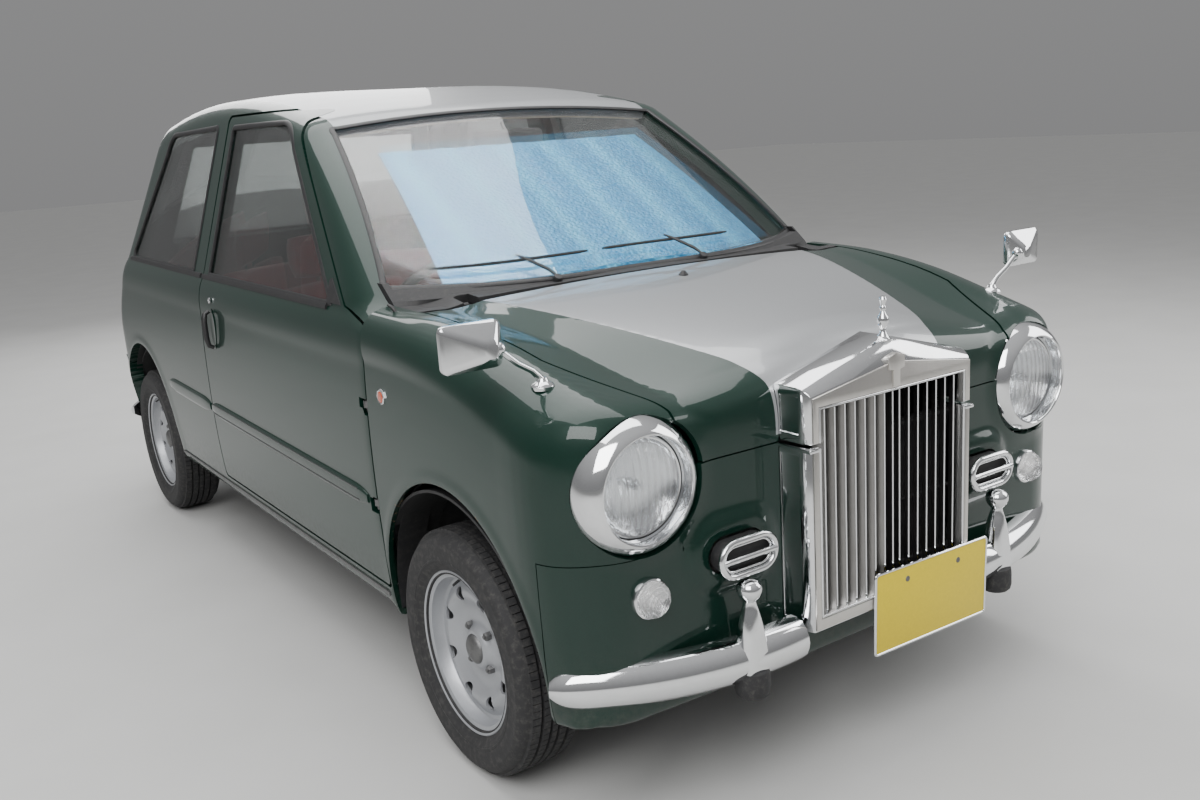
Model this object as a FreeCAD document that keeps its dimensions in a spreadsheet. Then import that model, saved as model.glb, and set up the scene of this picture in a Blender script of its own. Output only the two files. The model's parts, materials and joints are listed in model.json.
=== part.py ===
"""A three-door kei hatchback with an upright radiator shell, as separate named sub-parts.

Millimetres. The origin is on the ground under the middle of the car, +Z is up, the front looks
along -Y and +X is the car's left side. The driver sits on the right.
"""
import FreeCAD, Part
import Sketcher
import math
import os

from FreeCAD import Placement, Rotation, Vector

# name, value, what it measures. Heights are from the ground, half widths from the middle plane.
SIZES = (
    ("wheelbase", 2280, "front to rear axle"),
    ("front_axle_y", -1090, "place of the front axle"),
    ("nose_y", -1548, "front of the nose panel at the middle"),
    ("tail_y", 1600, "back of the rear panel at the middle"),
    ("floor_z", 235, "underside of the sills and floor"),
    ("floor_thickness", 30, "floor pan with its ribs"),
    ("sill_half", 668, "half width at the sill"),
    ("waist_half", 697.5, "largest half width of the body"),
    ("waist_z", 560, "height of the largest width"),
    ("shoulder_half", 690, "half width under the shoulder"),
    ("shoulder_z", 800, "height where the shoulder starts"),
    ("belt_half", 664, "half width at the belt line"),
    ("belt_z", 905, "height of the belt line"),
    ("rail_half", 538, "half width at the roof rail"),
    ("rail_z", 1345, "height of the roof rail"),
    ("crown_z", 1400, "top of the roof"),
    ("crown_y", 250, "where the roof is highest"),
    ("skin", 18, "front panels with their flanges"),
    ("wall", 46, "doors and side panels, inner to outer sheet"),
    ("roof_wall", 26, "roof with its lining"),
    ("shut_gap", 6, "gap round everything that opens"),
    ("door_front_y", -790, "front edge of the door"),
    ("door_rear_y", 395, "rear edge of the door"),
    ("door_low_z", 298, "lower edge of the door"),
    ("door_top_z", 1350, "upper edge of the door frame"),
    ("door_pin_half", 679, "half spacing of the doors' hinge pins"),
    ("door_pin_y", -769, "place of the doors' hinge pins"),
    ("door_swing", 28.5, "space round a door's hinge pin"),
    ("pin_radius", 4, "hinge pins"),
    ("pin_clear", 0.3, "clearance of a hinge pin in its eye"),
    ("bonnet_rear_y", -900, "rear edge of the bonnet"),
    ("bonnet_pin_y", -872, "the bonnet's hinge pins"),
    ("bonnet_pin_z", 906, "the bonnet's hinge pins"),
    ("tail_split_y", 1089, "rear edge of the roof, where the tailgate starts"),
    ("tail_pin_z", 1366, "the tailgate's hinge pins, over the roof's rear edge"),
    ("tail_pin_x", 288, "inner end of a tailgate hinge"),
    ("seam_z", 546, "upper edge of the nose panel beside the lamps"),
    ("engine_x", -300, "engine block's right end"),
    ("engine_y", -1400, "engine block's front"),
    ("engine_z", 290, "engine block's underside"),
    ("engine_length", 600, "engine block across the car"),
    ("engine_depth", 400, "engine block along the car"),
    ("engine_height", 400, "engine block"),
    ("knuckle_eye", 9, "outer radius of hinge eyes and of the ball joint"),
    ("bonnet_front_z", 684, "front edge of the bonnet"),
    ("glass", 5, "thickness of every window"),
    ("glass_inset", 4, "how far windows lie behind the skin"),
    ("arch_radius", 315, "wheel arch opening in the outer sheet"),
    ("arch_lift", 42, "the arch's centre lies above the hub"),
    ("front_arch_shift", -18, "the front arch's centre lies ahead of the hub"),
    ("well_radius", 336, "wheelhouse inside the outer sheet"),
    ("door_wall", 40, "doors, clear of the frame that they shut against"),
    ("liner", 6, "wheelhouse sheet with its underseal"),
    ("post_half", 640, "outer edge of the front liner behind the wheel, clear of the door's edge"),
    ("front_well_half", 560, "inner edge of the front wheelhouse liners"),
    ("rear_well_half", 470, "inner wall of the rear wheelhouses"),
    ("rear_floor_y", 790, "where the floor steps up over the rear axle"),
    ("rear_floor_z", 410, "underside of the raised rear floor"),
    ("track", 1222, "distance between tyre centres"),
    ("tyre_radius", 254, "radius on the ground"),
    ("tyre_width", 145, "width of the tyre"),
    ("tyre_inner", 158, "radius of the bead seat"),
    ("rim_flange", 171, "radius of the rim's flange"),
    ("rim_width", 116, "width of the rim over its flanges"),
    ("vent_count", 8, "holes round the wheel disc"),
    ("vent_radius", 15, "radius of a vent hole"),
    ("vent_ring", 112, "radius on which the vent holes lie"),
    ("hub_bore", 20, "bore of the wheel on its spindle"),
    ("hub_clear", 0.05, "running clearance of the wheel on its spindle"),
    ("shell_half", 222, "half width of the radiator shell"),
    ("shell_front_y", -1619, "front of the radiator shell"),
    ("shell_low_z", 333, "bottom of the radiator shell"),
    ("shell_corner_z", 793, "upper corners of the radiator shell"),
    ("shell_peak_z", 853, "peak of the radiator shell"),
    ("shell_wall", 22, "width of the frame round the vanes"),
    ("header_z", 757, "lower edge of the shell's header"),
    ("shell_split_z", 688, "split between lower shell and upper shell"),
    ("vane_count", 15, "vanes in the shell"),
    ("vane_depth", 24, "depth of a vane from edge to edge"),
    ("vane_sheet", 3, "thickness of a vane"),
    ("vane_turn", 32, "angle of the vanes, mirrored about the middle"),
    ("tie_radius", 4, "tie bars behind the vanes"),
    ("lamp_half", 526, "half spacing of the headlamps"),
    ("lamp_z", 668, "height of the headlamps"),
    ("lens_radius", 85, "headlamp glass"),
    ("bezel_radius", 122, "outer radius of the headlamp bezel"),
    ("turn_half", 523, "half spacing of the turn lamps"),
    ("turn_z", 469, "height of the turn lamps"),
    ("turn_radius", 35, "radius of a turn lamp"),
    ("inlet_half", 338, "half spacing of the air inlets"),
    ("inlet_z", 510, "height of the air inlets"),
    ("inlet_width", 138, "width of an air inlet ring"),
    ("inlet_height", 76, "height of an air inlet ring"),
    ("bumper_z", 318, "middle of the bumpers"),
    ("bumper_height", 84, "height of the bumper bars"),
    ("bumper_depth", 46, "depth of the bumper bars"),
    ("over_half", 347, "half spacing of the overriders"),
    ("plate_width", 330, "number plate"),
    ("plate_height", 165, "number plate"),
    ("plate_x", 101, "the plate hangs off centre"),
    ("plate_z", 318, "middle of the number plate"),
    ("mirror_half", 608, "foot of a fender mirror"),
    ("mirror_foot_y", -1372, "foot of a fender mirror"),
    ("steer_wheel_radius", 180, "steering wheel"),
    ("driver_x", -300, "middle of the driver's seat"),
    ("seat", 0.3, "clearance where a piece sits on another"),
)

doc = FreeCAD.newDocument("KeiCar")
sheet = doc.addObject("Spreadsheet::Sheet", "Dimensions")
for row, (name, value, note) in enumerate(SIZES, start=1):
    sheet.set(f"A{row}", name)
    sheet.set(f"B{row}", str(value))
    sheet.set(f"C{row}", note)
    sheet.setAlias(f"B{row}", name)
doc.recompute()


class Sizes:
    """Reads a driving dimension from the sheet by its name."""

    def __getattr__(self, name):
        return float(sheet.get(name))


size = Sizes()
nodes = []


def spot(plane, at, across, up):
    """A point of a drawing plane as a point in space."""
    return {"yz": Vector(at, across, up), "xz": Vector(across, at, up), "xy": Vector(across, up, at)}[plane]


def outline(plane, at, start, *steps):
    """A closed wire: a step of two numbers is a line to there, one of four an arc through and to."""
    edges = []
    here = spot(plane, at, *start)
    for step in steps + (start,):
        there = spot(plane, at, *step[-2:])
        if here.isEqual(there, 1e-6):
            continue
        if len(step) == 4:
            edges.append(Part.Arc(here, spot(plane, at, *step[:2]), there).toShape())
        else:
            edges.append(Part.makeLine(here, there))
        here = there
    return Part.Wire(edges)


def prism(plane, low, high, start, *steps):
    """A straight solid between two levels of a drawing plane's normal."""
    face = Part.Face(outline(plane, low, start, *steps))
    return face.extrude(spot(plane, high, 0, 0) - spot(plane, low, 0, 0))


def box(low, high):
    """A box between two corners."""
    return Part.makeBox(high[0] - low[0], high[1] - low[1], high[2] - low[2], Vector(*low))


def rod(start, end, radius):
    """A round bar between two points."""
    along = Vector(*end) - Vector(*start)
    return Part.makeCylinder(radius, along.Length, Vector(*start), along)


def mirrored(shape):
    """The same shape on the other side of the car."""
    return shape.mirror(Vector(0, 0, 0), Vector(1, 0, 0))


def pair(shape):
    """A shape and its mirror image, as two solids."""
    return Part.makeCompound([shape, mirrored(shape)])


def joined(*shapes):
    """The union of overlapping shapes, without the seams."""
    return shapes[0].fuse(list(shapes[1:])).removeSplitter()


def add(label, shape):
    """Enters a sub-part whose shape is made from the sheet's values."""
    feature = doc.addObject("Part::Feature", label)
    feature.Shape = shape
    feature.Label = label
    nodes.append(feature)
    return shape


def primitive(kind, label, place, **bindings):
    """Enters a sub-part that is one bound primitive."""
    feature = doc.addObject(kind, label)
    for prop, expression in bindings.items():
        feature.setExpression(prop, expression)
    feature.Placement = place
    feature.Label = label
    nodes.append(feature)
    return feature


def bound_sketch(body, role, corners):
    """A closed polygon on an origin plane, each corner tied to expressions of the sheet."""
    sketch = body.newObject("Sketcher::SketchObject", body.Name + "Sketch")
    plane = [item for item in body.Origin.OriginFeatures if item.Role == role][0]
    sketch.AttachmentSupport = (plane, [""])
    sketch.MapMode = "FlatFace"
    count = len(corners)
    for index in range(count):
        ends = []
        for corner in (corners[index], corners[(index + 1) % count]):
            ends.append(Vector(*(worked_out(part) for part in corner), 0))
        sketch.addGeometry(Part.LineSegment(*ends), False)
    for index, corner in enumerate(corners):
        sketch.addConstraint(Sketcher.Constraint("Coincident", index, 1, (index - 1) % count, 2))
        for kind, part in zip(("DistanceX", "DistanceY"), corner):
            number = sketch.addConstraint(Sketcher.Constraint(kind, -1, 1, index, 1, worked_out(part)))
            sketch.setExpression(f"Constraints[{number}]", part)
    return sketch


def worked_out(expression):
    """The present value of an expression of the sheet."""
    return float(sheet.evalExpression(expression.replace("Dimensions.", "")))


def revolved_body(label, place, role, axis, corners):
    """A PartDesign body turned from a bound sketch about one of its sketch axes."""
    body = doc.addObject("PartDesign::Body", label)
    body.Label = label
    sketch = bound_sketch(body, role, corners)
    turned = body.newObject("PartDesign::Revolution", label + "Turned")
    turned.Profile = sketch
    turned.ReferenceAxis = (sketch, [axis])
    turned.Angle = 360
    body.Placement = place
    nodes.append(body)
    return body


# Outer form of the body


def front_view(inset, top_z=1500, low_z=size.floor_z):
    """The body's outline seen from the front, drawn in by an inset: sill, waist, shoulder, glass side."""
    lean = (size.belt_half - size.rail_half) / (size.rail_z - size.belt_z)
    top_half = size.belt_half - lean * (top_z - size.belt_z)
    right = [
        (size.sill_half - inset, low_z),
        (size.waist_half - inset, size.waist_z, size.shoulder_half - inset, size.shoulder_z),
        (size.shoulder_half - inset - 6, (size.shoulder_z + size.belt_z) / 2 + 8, size.belt_half - inset, size.belt_z),
        (top_half - inset, top_z),
    ]
    left = [
        (-top_half + inset, top_z),
        (-size.belt_half + inset, size.belt_z),
        (-size.shoulder_half + inset + 6, (size.shoulder_z + size.belt_z) / 2 + 8,
         -size.shoulder_half + inset, size.shoulder_z),
        (-size.waist_half + inset, size.waist_z, -size.sill_half + inset, low_z),
    ]
    return prism("xz", -1700, 1700, right[0], *right[1:], *left)


def plan_view(inset):
    """The body's outline seen from above: bowed nose and tail with round corners."""
    nose, tail = size.nose_y + inset, size.tail_y - inset
    half = size.waist_half + 2 - inset
    return prism(
        "xy", 0, 1600,
        (-560 + inset / 2, nose + 20), (0, nose, 560 - inset / 2, nose + 20),
        (658 - inset, nose + 62, half, nose + 168), (half, tail - 190),
        (660 - inset, tail - 82, 560 - inset / 2, tail - 34), (0, tail, -560 + inset / 2, tail - 34),
        (-660 + inset, tail - 82, -half, tail - 190), (-half, nose + 178),
        (-655 + inset, nose + 74, -560 + inset / 2, nose + 38))


# x, screen foot y, screen top y, screen top z, crown drop, roof end y, roof end z,
# tail shoulder y, tail shoulder z, tail belt y, tail low y: the side view at the middle and outwards
SIDE_VIEWS = (
    (0, -878, -215, 1335, 0, 1040, 1374, 1165, 1318, 1420, 1590),
    (430, -858, -225, 1320, 11, 1028, 1361, 1150, 1305, 1406, 1578),
    (705, -684, -276, 1270, 50, 965, 1310, 1072, 1254, 1322, 1510),
)


def side_view(inset):
    """The cabin's form as a loft across the car through its side views."""
    wires = []
    rows = [(-row[0], *row[1:]) for row in reversed(SIDE_VIEWS[1:])] + list(SIDE_VIEWS)
    for x, foot_y, top_y, top_z, drop, end_y, end_z, hip_y, hip_z, belt_y, low_y in rows:
        wires.append(outline(
            "yz", x,
            (size.door_front_y - 30 + inset, size.floor_z - 10),
            (size.door_front_y - 30 + inset, 886 - inset),
            (foot_y + 1.6 * inset, 925),
            ((foot_y + top_y) / 2 + inset - 6, (925 + top_z) / 2 + 10 - inset * 0.6,
             top_y + inset, top_z - inset),
            (size.crown_y, size.crown_z - drop - inset, end_y - inset * 0.4, end_z - inset),
            ((end_y + hip_y) / 2 + 12 - inset, (end_z + hip_z) / 2 + 8 - inset, hip_y - inset, hip_z - inset * 0.6),
            (belt_y - inset, size.belt_z),
            (low_y - inset, 640),
            (low_y - inset, size.floor_z - 10)))
    return Part.makeLoft(wires, True, False)


# y, side top z, ridge x, ridge z, valley x, valley z, panel edge x, panel edge z, middle z
FRONT_SECTIONS = (
    (-1640, 660, 526, 776, 420, 764, 218, 792, 836),
    (-1540, 690, 526, 796, 425, 784, 228, 810, 850),
    (-1400, 735, 540, 828, 440, 815, 285, 846, 870),
    (-1200, 782, 560, 880, 480, 868, 362, 886, 900),
    (-1000, 806, 585, 908, 530, 904, 435, 914, 924),
    (-760, 812, 606, 918, 570, 920, 500, 928, 942),
)


def front_deck(inset):
    """Fenders and bonnet as a loft through front sections, with ridges over the lamps."""
    wires = []
    for y, side_z, ridge_x, ridge_z, valley_x, valley_z, edge_x, edge_z, middle_z in FRONT_SECTIONS:
        half = []
        half.append((size.shoulder_half - inset, side_z - inset / 2))
        half.append(((size.shoulder_half + ridge_x) / 2 + 36 - inset * 0.7,
                     (side_z + ridge_z) / 2 + 22 - inset * 0.7, ridge_x - inset / 3, ridge_z - inset))
        half.append(((ridge_x + valley_x) / 2, (ridge_z + valley_z) / 2 + 1 - inset, valley_x, valley_z - inset))
        half.append(((valley_x + edge_x) / 2, (valley_z + edge_z) / 2 - 2 - inset, edge_x, edge_z - inset))
        side = (size.waist_half - inset, size.waist_z)
        steps = [(*side, *half[0]), *half[1:], (0, middle_z - inset, -edge_x, edge_z - inset)]
        steps.append((-half[3][0], half[3][1], -half[2][2], half[2][3]))
        steps.append((-half[2][0], half[2][1], -half[1][2], half[1][3]))
        steps.append((-half[1][0], half[1][1], -half[0][0], half[0][1]))
        steps.append((-side[0], side[1], -size.sill_half + inset, size.floor_z))
        wires.append(outline("xz", y, (size.sill_half - inset, size.floor_z), *steps))
    return Part.makeLoft(wires, True, False)


def nose_view(inset):
    """The nose in side view: upright to the bonnet's front edge, then leaning back."""
    nose = size.nose_y + inset
    return prism("yz", -800, 800, (nose, size.floor_z - 10), (nose, size.bonnet_front_z),
                 (nose + 6, 760 - inset, nose + 62, 832 - inset), (nose + 200, 1000), (-600, 1000),
                 (-600, size.floor_z - 10))


def shared(*shapes):
    """The space that every one of the shapes fills."""
    common = shapes[0]
    for shape in shapes[1:]:
        common = common.common(shape)
    return common


def carved(shape, *tools):
    """A shape with the tools cut away one after the other."""
    for tool in tools:
        shape = shape.cut(tool)
    return shape


def without_crumbs(shape, smallest=1e4):
    """A shape without the slivers that several cuts leave."""
    return Part.makeCompound([solid for solid in shape.Solids if solid.Volume > smallest])


def under_rear(grow):
    """The space under the raised rear floor, between the sills."""
    return box((-560 - grow, size.rear_floor_y - grow, 0), (560 + grow, 1500 + grow, size.rear_floor_z + grow))


cabin_solid = shared(front_view(0), side_view(0), plan_view(0)).cut(under_rear(0))
under_floor = size.floor_z + size.floor_thickness
cabin_space = carved(shared(front_view(size.wall), side_view(size.roof_wall), plan_view(size.wall)),
                     under_rear(size.floor_thickness), box((-800, -1000, 0), (800, 1800, under_floor)))
front_solid = shared(front_deck(0), plan_view(0), nose_view(0))
front_space = shared(front_deck(size.skin), plan_view(size.skin), nose_view(size.skin))

# Cutters


def windscreen_hole(grow=0):
    """The windscreen's opening seen from the front."""
    return prism("xz", -1000, -100, (-594 - grow, 948 - grow), (0, 936 - grow, 594 + grow, 948 - grow),
                 (486 + grow, 1290 + grow), (0, 1318 + grow, -486 - grow, 1290 + grow))


def door_edge(gap):
    """The door's outline in side view, drawn in by a gap."""
    top = size.door_top_z - gap
    return prism("yz", -720, -1, (size.door_front_y + gap, size.door_low_z + gap),
                 (size.door_front_y + gap, size.belt_z - 22 - gap / 2), (-662 + gap, size.belt_z + 10 - gap / 2),
                 (-246 + gap, top - 72), (-190 + gap, top - 24, -110 + gap, top),
                 (size.door_rear_y - 48 - gap * 1.8, top),
                 (size.door_rear_y - 6 - gap, size.belt_z), (size.door_rear_y - gap, size.door_low_z + gap))


def door_window():
    """The door's window in side view."""
    low, top = size.belt_z + 6, size.door_top_z - 34
    return prism("yz", -720, -1, (-582, low), (-210, top - 70), (-165, top - 24, -90, top),
                 (size.door_rear_y - 100, top), (size.door_rear_y - 62, low))


def quarter_window():
    """The rear side window in side view."""
    low, top = size.belt_z + 6, size.door_top_z - 30
    return prism("yz", -720, 720, (size.door_rear_y + 88, low), (size.door_rear_y + 44, top - 20),
                 (size.door_rear_y + 46, top - 3, size.door_rear_y + 64, top), (880, top - 8),
                 (935, top - 26, 960, top - 62), (1200, low + 40), (1208, low + 8, 1180, low))


def tailgate_edge(gap):
    """The tailgate's outline seen from behind."""
    return prism("xz", 700, 1640, (-560 + gap, 470 + gap), (560 - gap, 470 + gap), (572 - gap, size.belt_z),
                 (470 - gap, 1340), (462 - gap, 1450), (-462 + gap, 1450), (-470 + gap, 1340), (-572 + gap, size.belt_z))


def tail_side(gap):
    """The tailgate's region in side view, behind the roof's rear edge."""
    split = size.tail_split_y + gap
    return prism("yz", -800, 800, (split, 1450), (split, 1300), (1250, 890), (1250, 300), (1750, 300), (1750, 1450))


def tailgate_window():
    """The rear window seen from behind."""
    return prism("xz", 700, 1640, (-500, size.belt_z + 40), (500, size.belt_z + 40), (425, 1282), (-425, 1282))


def bonnet_edge(gap):
    """The bonnet's outline seen from above."""
    rear = size.bonnet_rear_y - gap * 7 / 3
    return prism("xy", size.bonnet_front_z + gap / 2, 1000,
                 (-600 + gap, rear), (-560 + gap, -1290), (-455 + gap, size.nose_y + 30),
                 (-455 + gap, size.nose_y - 40), (455 - gap, size.nose_y - 40), (455 - gap, size.nose_y + 30),
                 (560 - gap, -1290), (600 - gap, rear))


def axle_rods(radius, inner, outer, lift=0, shift=0):
    """Cylinders about the wheel centres on both sides, between two distances from the middle."""
    rods = []
    for y, ahead in ((size.front_axle_y, shift), (size.front_axle_y + size.wheelbase, 0)):
        for side in (-1, 1):
            height = size.tyre_radius + lift
            rods.append(rod((side * inner, y + ahead, height), (side * outer, y + ahead, height), radius))
    return rods


def middle(low, high, half):
    """A box across the middle, between two (y, z) corners."""
    return box((-half, low[0], low[1]), (half, high[0], high[1]))


def at_lamps(radius, low_y, high_y, half, height):
    """A pair of cylinders along Y about lamp centres."""
    return pair(rod((half, low_y, height), (half, high_y, height), radius))


wells = axle_rods(size.well_radius, size.rear_well_half, size.waist_half - size.wall)
post_wells = axle_rods(size.well_radius, size.rear_well_half, size.post_half)[:2] + wells[2:]
arches = axle_rods(size.arch_radius, size.waist_half - size.wall - 30, 760, size.arch_lift, size.front_arch_shift)
door_swings = pair(rod((-size.door_pin_half, size.door_pin_y, size.door_low_z - 4),
                       (-size.door_pin_half, size.door_pin_y, size.belt_z + 20), size.door_swing))
cabin_core = shared(front_view(size.skin, low_z=size.floor_z - 5), side_view(0))
front_shell = carved(front_solid, front_space, cabin_core, *wells, *arches)
fender_shell = carved(front_shell, middle((size.door_front_y, 0), (-500, 1600), 800), door_swings)
cabin_shell = carved(cabin_solid, cabin_space, fender_shell, *post_wells, *arches)
side_slab, door_slab = (front_view(-2).cut(front_view(depth)) for depth in (size.wall, size.door_wall))

# Body panels that stay on the root

floor_zone = joined(middle((-840, 200), (size.rear_floor_y, under_floor), 600),
                    middle((size.rear_floor_y - size.floor_thickness, 200),
                           (1700, size.rear_floor_z + size.floor_thickness), 590))
cowl_zone = middle((-1000, under_floor), (-690, 960), 604)
roof_zone = middle((-330, 1250), (1250, 1500), 478)
rear_zone = middle((1200, size.rear_floor_z + size.floor_thickness), (1700, 470), 560)
lamp_zone = pair(prism("xz", 1400, 1640, (588, 560), (652, 560), (648, 770), (588, 770)))
screens = [windscreen_hole(), tailgate_window()]
side_windows = [door_window(), mirrored(door_window()), quarter_window()]
door_space = pair(shared(side_slab, door_edge(0)))
shell_place = middle((-1700, 300), (size.nose_y + size.skin, 900), size.shell_half + size.seat)
headlamp_bore = at_lamps(size.bezel_radius + size.seat, -1600, -1480, size.lamp_half, size.lamp_z)
turn_bore = at_lamps(size.turn_radius + size.seat, -1600, -1480, size.turn_half, size.turn_z)


def slot(width, height, low_y, high_y):
    """A pair of upright oval blocks at the air inlets."""
    straight, half = (width - height) / 2, height / 2
    block = prism("xz", low_y, high_y, (size.inlet_half - straight, size.inlet_z - half),
                  (size.inlet_half + straight, size.inlet_z - half),
                  (size.inlet_half + width / 2, size.inlet_z,
                   size.inlet_half + straight, size.inlet_z + half),
                  (size.inlet_half - straight, size.inlet_z + half),
                  (size.inlet_half - width / 2, size.inlet_z,
                   size.inlet_half - straight, size.inlet_z - half))
    return pair(block)


tailgate_zone = tailgate_edge(0).common(tail_side(0))
tail_pin_y = size.tail_split_y + size.shut_gap / 2
ear_x, arm_x = size.tail_pin_x, size.tail_pin_x + 10
tail_ear = joined(box((ear_x, tail_pin_y - 40, size.tail_pin_z - 22), (ear_x + 6, tail_pin_y - 4, size.tail_pin_z)),
                  rod((ear_x, tail_pin_y, size.tail_pin_z), (ear_x + 6, tail_pin_y, size.tail_pin_z), 7),
                  rod((ear_x, tail_pin_y, size.tail_pin_z), (ear_x + 22, tail_pin_y, size.tail_pin_z), size.pin_radius))
add("roof_panel", joined(carved(shared(cabin_shell, roof_zone), *screens, tailgate_zone), *pair(tail_ear).Solids))
add("floor_pan", shared(cabin_shell, floor_zone))
cowl_deck = shared(front_shell, middle((size.bonnet_rear_y, 500), (-700, 1000), 604))
hinge_slot = box((462, -914, 860), (498, size.bonnet_pin_y + 18, 960))
bonnet_pin = rod((460, size.bonnet_pin_y, size.bonnet_pin_z), (500, size.bonnet_pin_y, size.bonnet_pin_z),
                 size.pin_radius)
cowl = carved(joined(shared(cabin_shell, cowl_zone), cowl_deck), *screens, door_swings, pair(hinge_slot))
add("cowl", joined(cowl, *pair(bonnet_pin).Solids))
add("rear_panel", shared(cabin_shell, rear_zone))


def door_hinge(low):
    """A door hinge at a height, on the right: the post's leaf with its pin, the door's notch and its eye."""
    x, y, high = -size.door_pin_half, size.door_pin_y, low + 24
    leaf = joined(box((x + 24, y - 44, low), (x + 33, y + 8, low + 8)), box((x - 4, y - 4, low), (x + 33, y + 8, low + 8)),
                  rod((x, y, low), (x, y, high), size.pin_radius))
    notch = box((x - 11, y - 20, low - 6), (x + 60, y + 20, high + 6))
    eye = joined(rod((x, y, low + 8.3), (x, y, high), 9), box((x - 14, y - 6, low + 8.3), (x, y + 6, high))).cut(
        rod((x, y, low), (x, y, high + 1), size.pin_radius + size.pin_clear))
    return leaf, notch, eye


door_hinges = [door_hinge(low) for low in (480, 700)]
hinge_leaves = [solid for leaf, _, _ in door_hinges for solid in pair(leaf).Solids]
side_panels = carved(cabin_shell, roof_zone, floor_zone, cowl_zone, rear_zone, lamp_zone, tailgate_zone, door_space,
                     door_swings, *side_windows, *screens)
add("side_panels", without_crumbs(side_panels.fuse(hinge_leaves).removeSplitter()))
add("tail_lamps", shared(cabin_shell, lamp_zone))
nose_zone = joined(middle((-1700, 200), (-1430, size.seam_z), 800),
                   middle((-1700, size.seam_z - 10), (-1478, size.bonnet_front_z), size.lamp_half))
bonnet_hole = bonnet_edge(0)
front_bores = [headlamp_bore, turn_bore, shell_place]
inlet_bulge = slot(size.inlet_width + 44, size.inlet_height + 44, -1574, -1531)
nose = shared(front_shell, nose_zone).cut(bonnet_hole).fuse(inlet_bulge).removeSplitter()
inlet_hole = slot(size.inlet_width + 2 * size.seat, size.inlet_height + 2 * size.seat, -1600, -1500)
add("nose_panel", carved(nose, *front_bores, inlet_hole))
add("front_fenders", carved(fender_shell, nose_zone, bonnet_hole, cowl_deck, headlamp_bore))

# Wheelhouse liners and inner aprons


def liners():
    """Half rings over the wheels, from the inner edge out to the outer sheet."""
    made = []
    for y, inner in ((size.front_axle_y, size.front_well_half),
                     (size.front_axle_y + size.wheelbase, size.rear_well_half)):
        ring = rod((inner, y, size.tyre_radius), (760, y, size.tyre_radius), size.well_radius).cut(
            rod((inner - 1, y, size.tyre_radius), (761, y, size.tyre_radius), size.well_radius - size.liner))
        half = ring.common(box((0, y - 400, size.floor_z + 60), (800, y + 400, 700)))
        space = front_space if y == size.front_axle_y else cabin_space
        made.append(half.common(space).cut(box((size.post_half, size.door_front_y - 40, 0), (800, 0, 800))))
    rear_y = size.front_axle_y + size.wheelbase
    side = rod((size.rear_well_half - size.liner, rear_y, size.tyre_radius),
               (size.rear_well_half, rear_y, size.tyre_radius), size.well_radius)
    made.append(side.common(box((0, 0, under_floor), (800, 1700, 700))).common(cabin_space))
    return made


apron = box((405, -1470, 430), (411, -800, 740))
tower = Part.makeCylinder(66, 8, Vector(452, size.front_axle_y, 706))
apron = apron.cut(cabin_solid).fuse(box((405, size.front_axle_y - 66, 700), (452, size.front_axle_y + 66, 706))).fuse(tower)
front_liner, rear_liner, rear_side = liners()
add("wheelhouses", Part.makeCompound([s for piece in (front_liner, rear_liner.fuse(rear_side), apron.removeSplitter())
                                      for s in pair(piece).Solids]))

# Bonnet and the radiator shell


def shell_front(low, high):
    """The radiator shell's outline between two heights, with its low pediment."""
    half = size.shell_half
    if high < size.shell_corner_z:
        return prism("xz", size.shell_front_y, size.nose_y + size.skin,
                     (-half, low), (half, low), (half, high), (-half, high))
    return prism("xz", size.shell_front_y, size.nose_y + size.skin, (-half, low), (half, low),
                 (half, size.shell_corner_z), (0, size.shell_peak_z), (-half, size.shell_corner_z))


lamp_clearance = at_lamps(size.bezel_radius + size.shut_gap, -1640, -1460, size.lamp_half, size.lamp_z)
bonnet_arm = joined(box((474, -936, size.bonnet_pin_z - 8), (486, size.bonnet_pin_y, size.bonnet_pin_z + 6)),
                    rod((474, size.bonnet_pin_y, size.bonnet_pin_z), (486, size.bonnet_pin_y, size.bonnet_pin_z), 9))
bonnet_eye = rod((470, size.bonnet_pin_y, size.bonnet_pin_z), (490, size.bonnet_pin_y, size.bonnet_pin_z),
                 size.pin_radius + size.pin_clear)
bonnet = carved(shared(front_shell, bonnet_edge(size.shut_gap)), shell_place, lamp_clearance)
add("bonnet", joined(bonnet, *pair(bonnet_arm).Solids).cut(pair(bonnet_eye)))

inside = size.shell_half - size.shell_wall
upper = shell_front(size.shell_split_z + size.shut_gap / 2, size.shell_peak_z)
upper = upper.cut([middle((-1700, 0), (-1400, size.header_z), inside),
                   middle((size.shell_front_y + 24, 0), (-1400, size.shell_corner_z - 12), size.shell_half - 10)])
finial = rod((0, -1590, 838), (0, -1590, 866), 13).fuse(
    Part.makeCone(11, 4, 44, Vector(0, -1590, 866))).fuse(Part.makeSphere(9, Vector(0, -1590, 914)))
plaque = box((-22, size.shell_front_y - 3, 776), (22, size.shell_front_y + 4, 818))
add("shell_top", joined(upper, finial, plaque))

lower = shell_front(size.shell_low_z, size.shell_split_z - size.shut_gap / 2)
lower = lower.cut(middle((-1700, size.shell_low_z + 28), (-1400, size.shell_split_z), inside))
pitch = 2 * (inside - 5) / size.vane_count
vane_low, vane_high = size.shell_low_z + 20, size.header_z - 8
grille = [lower]
for index in range(int(size.vane_count)):
    x = (index - (size.vane_count - 1) / 2) * pitch
    turn = 0 if abs(x) < 1 else math.copysign(size.vane_turn, -x)
    vane = box((-size.vane_sheet / 2, -size.vane_depth / 2, vane_low),
               (size.vane_sheet / 2, size.vane_depth / 2, vane_high))
    vane.Placement = Placement(Vector(x, size.shell_front_y + 19, 0), Rotation(Vector(0, 0, 1), turn))
    grille.append(vane)
for z in (size.shell_low_z + 60, 520, size.shell_split_z - 16):
    grille.append(rod((-inside - 1, size.shell_front_y + 27, z), (inside + 1, size.shell_front_y + 27, z),
                      size.tie_radius))
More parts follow.
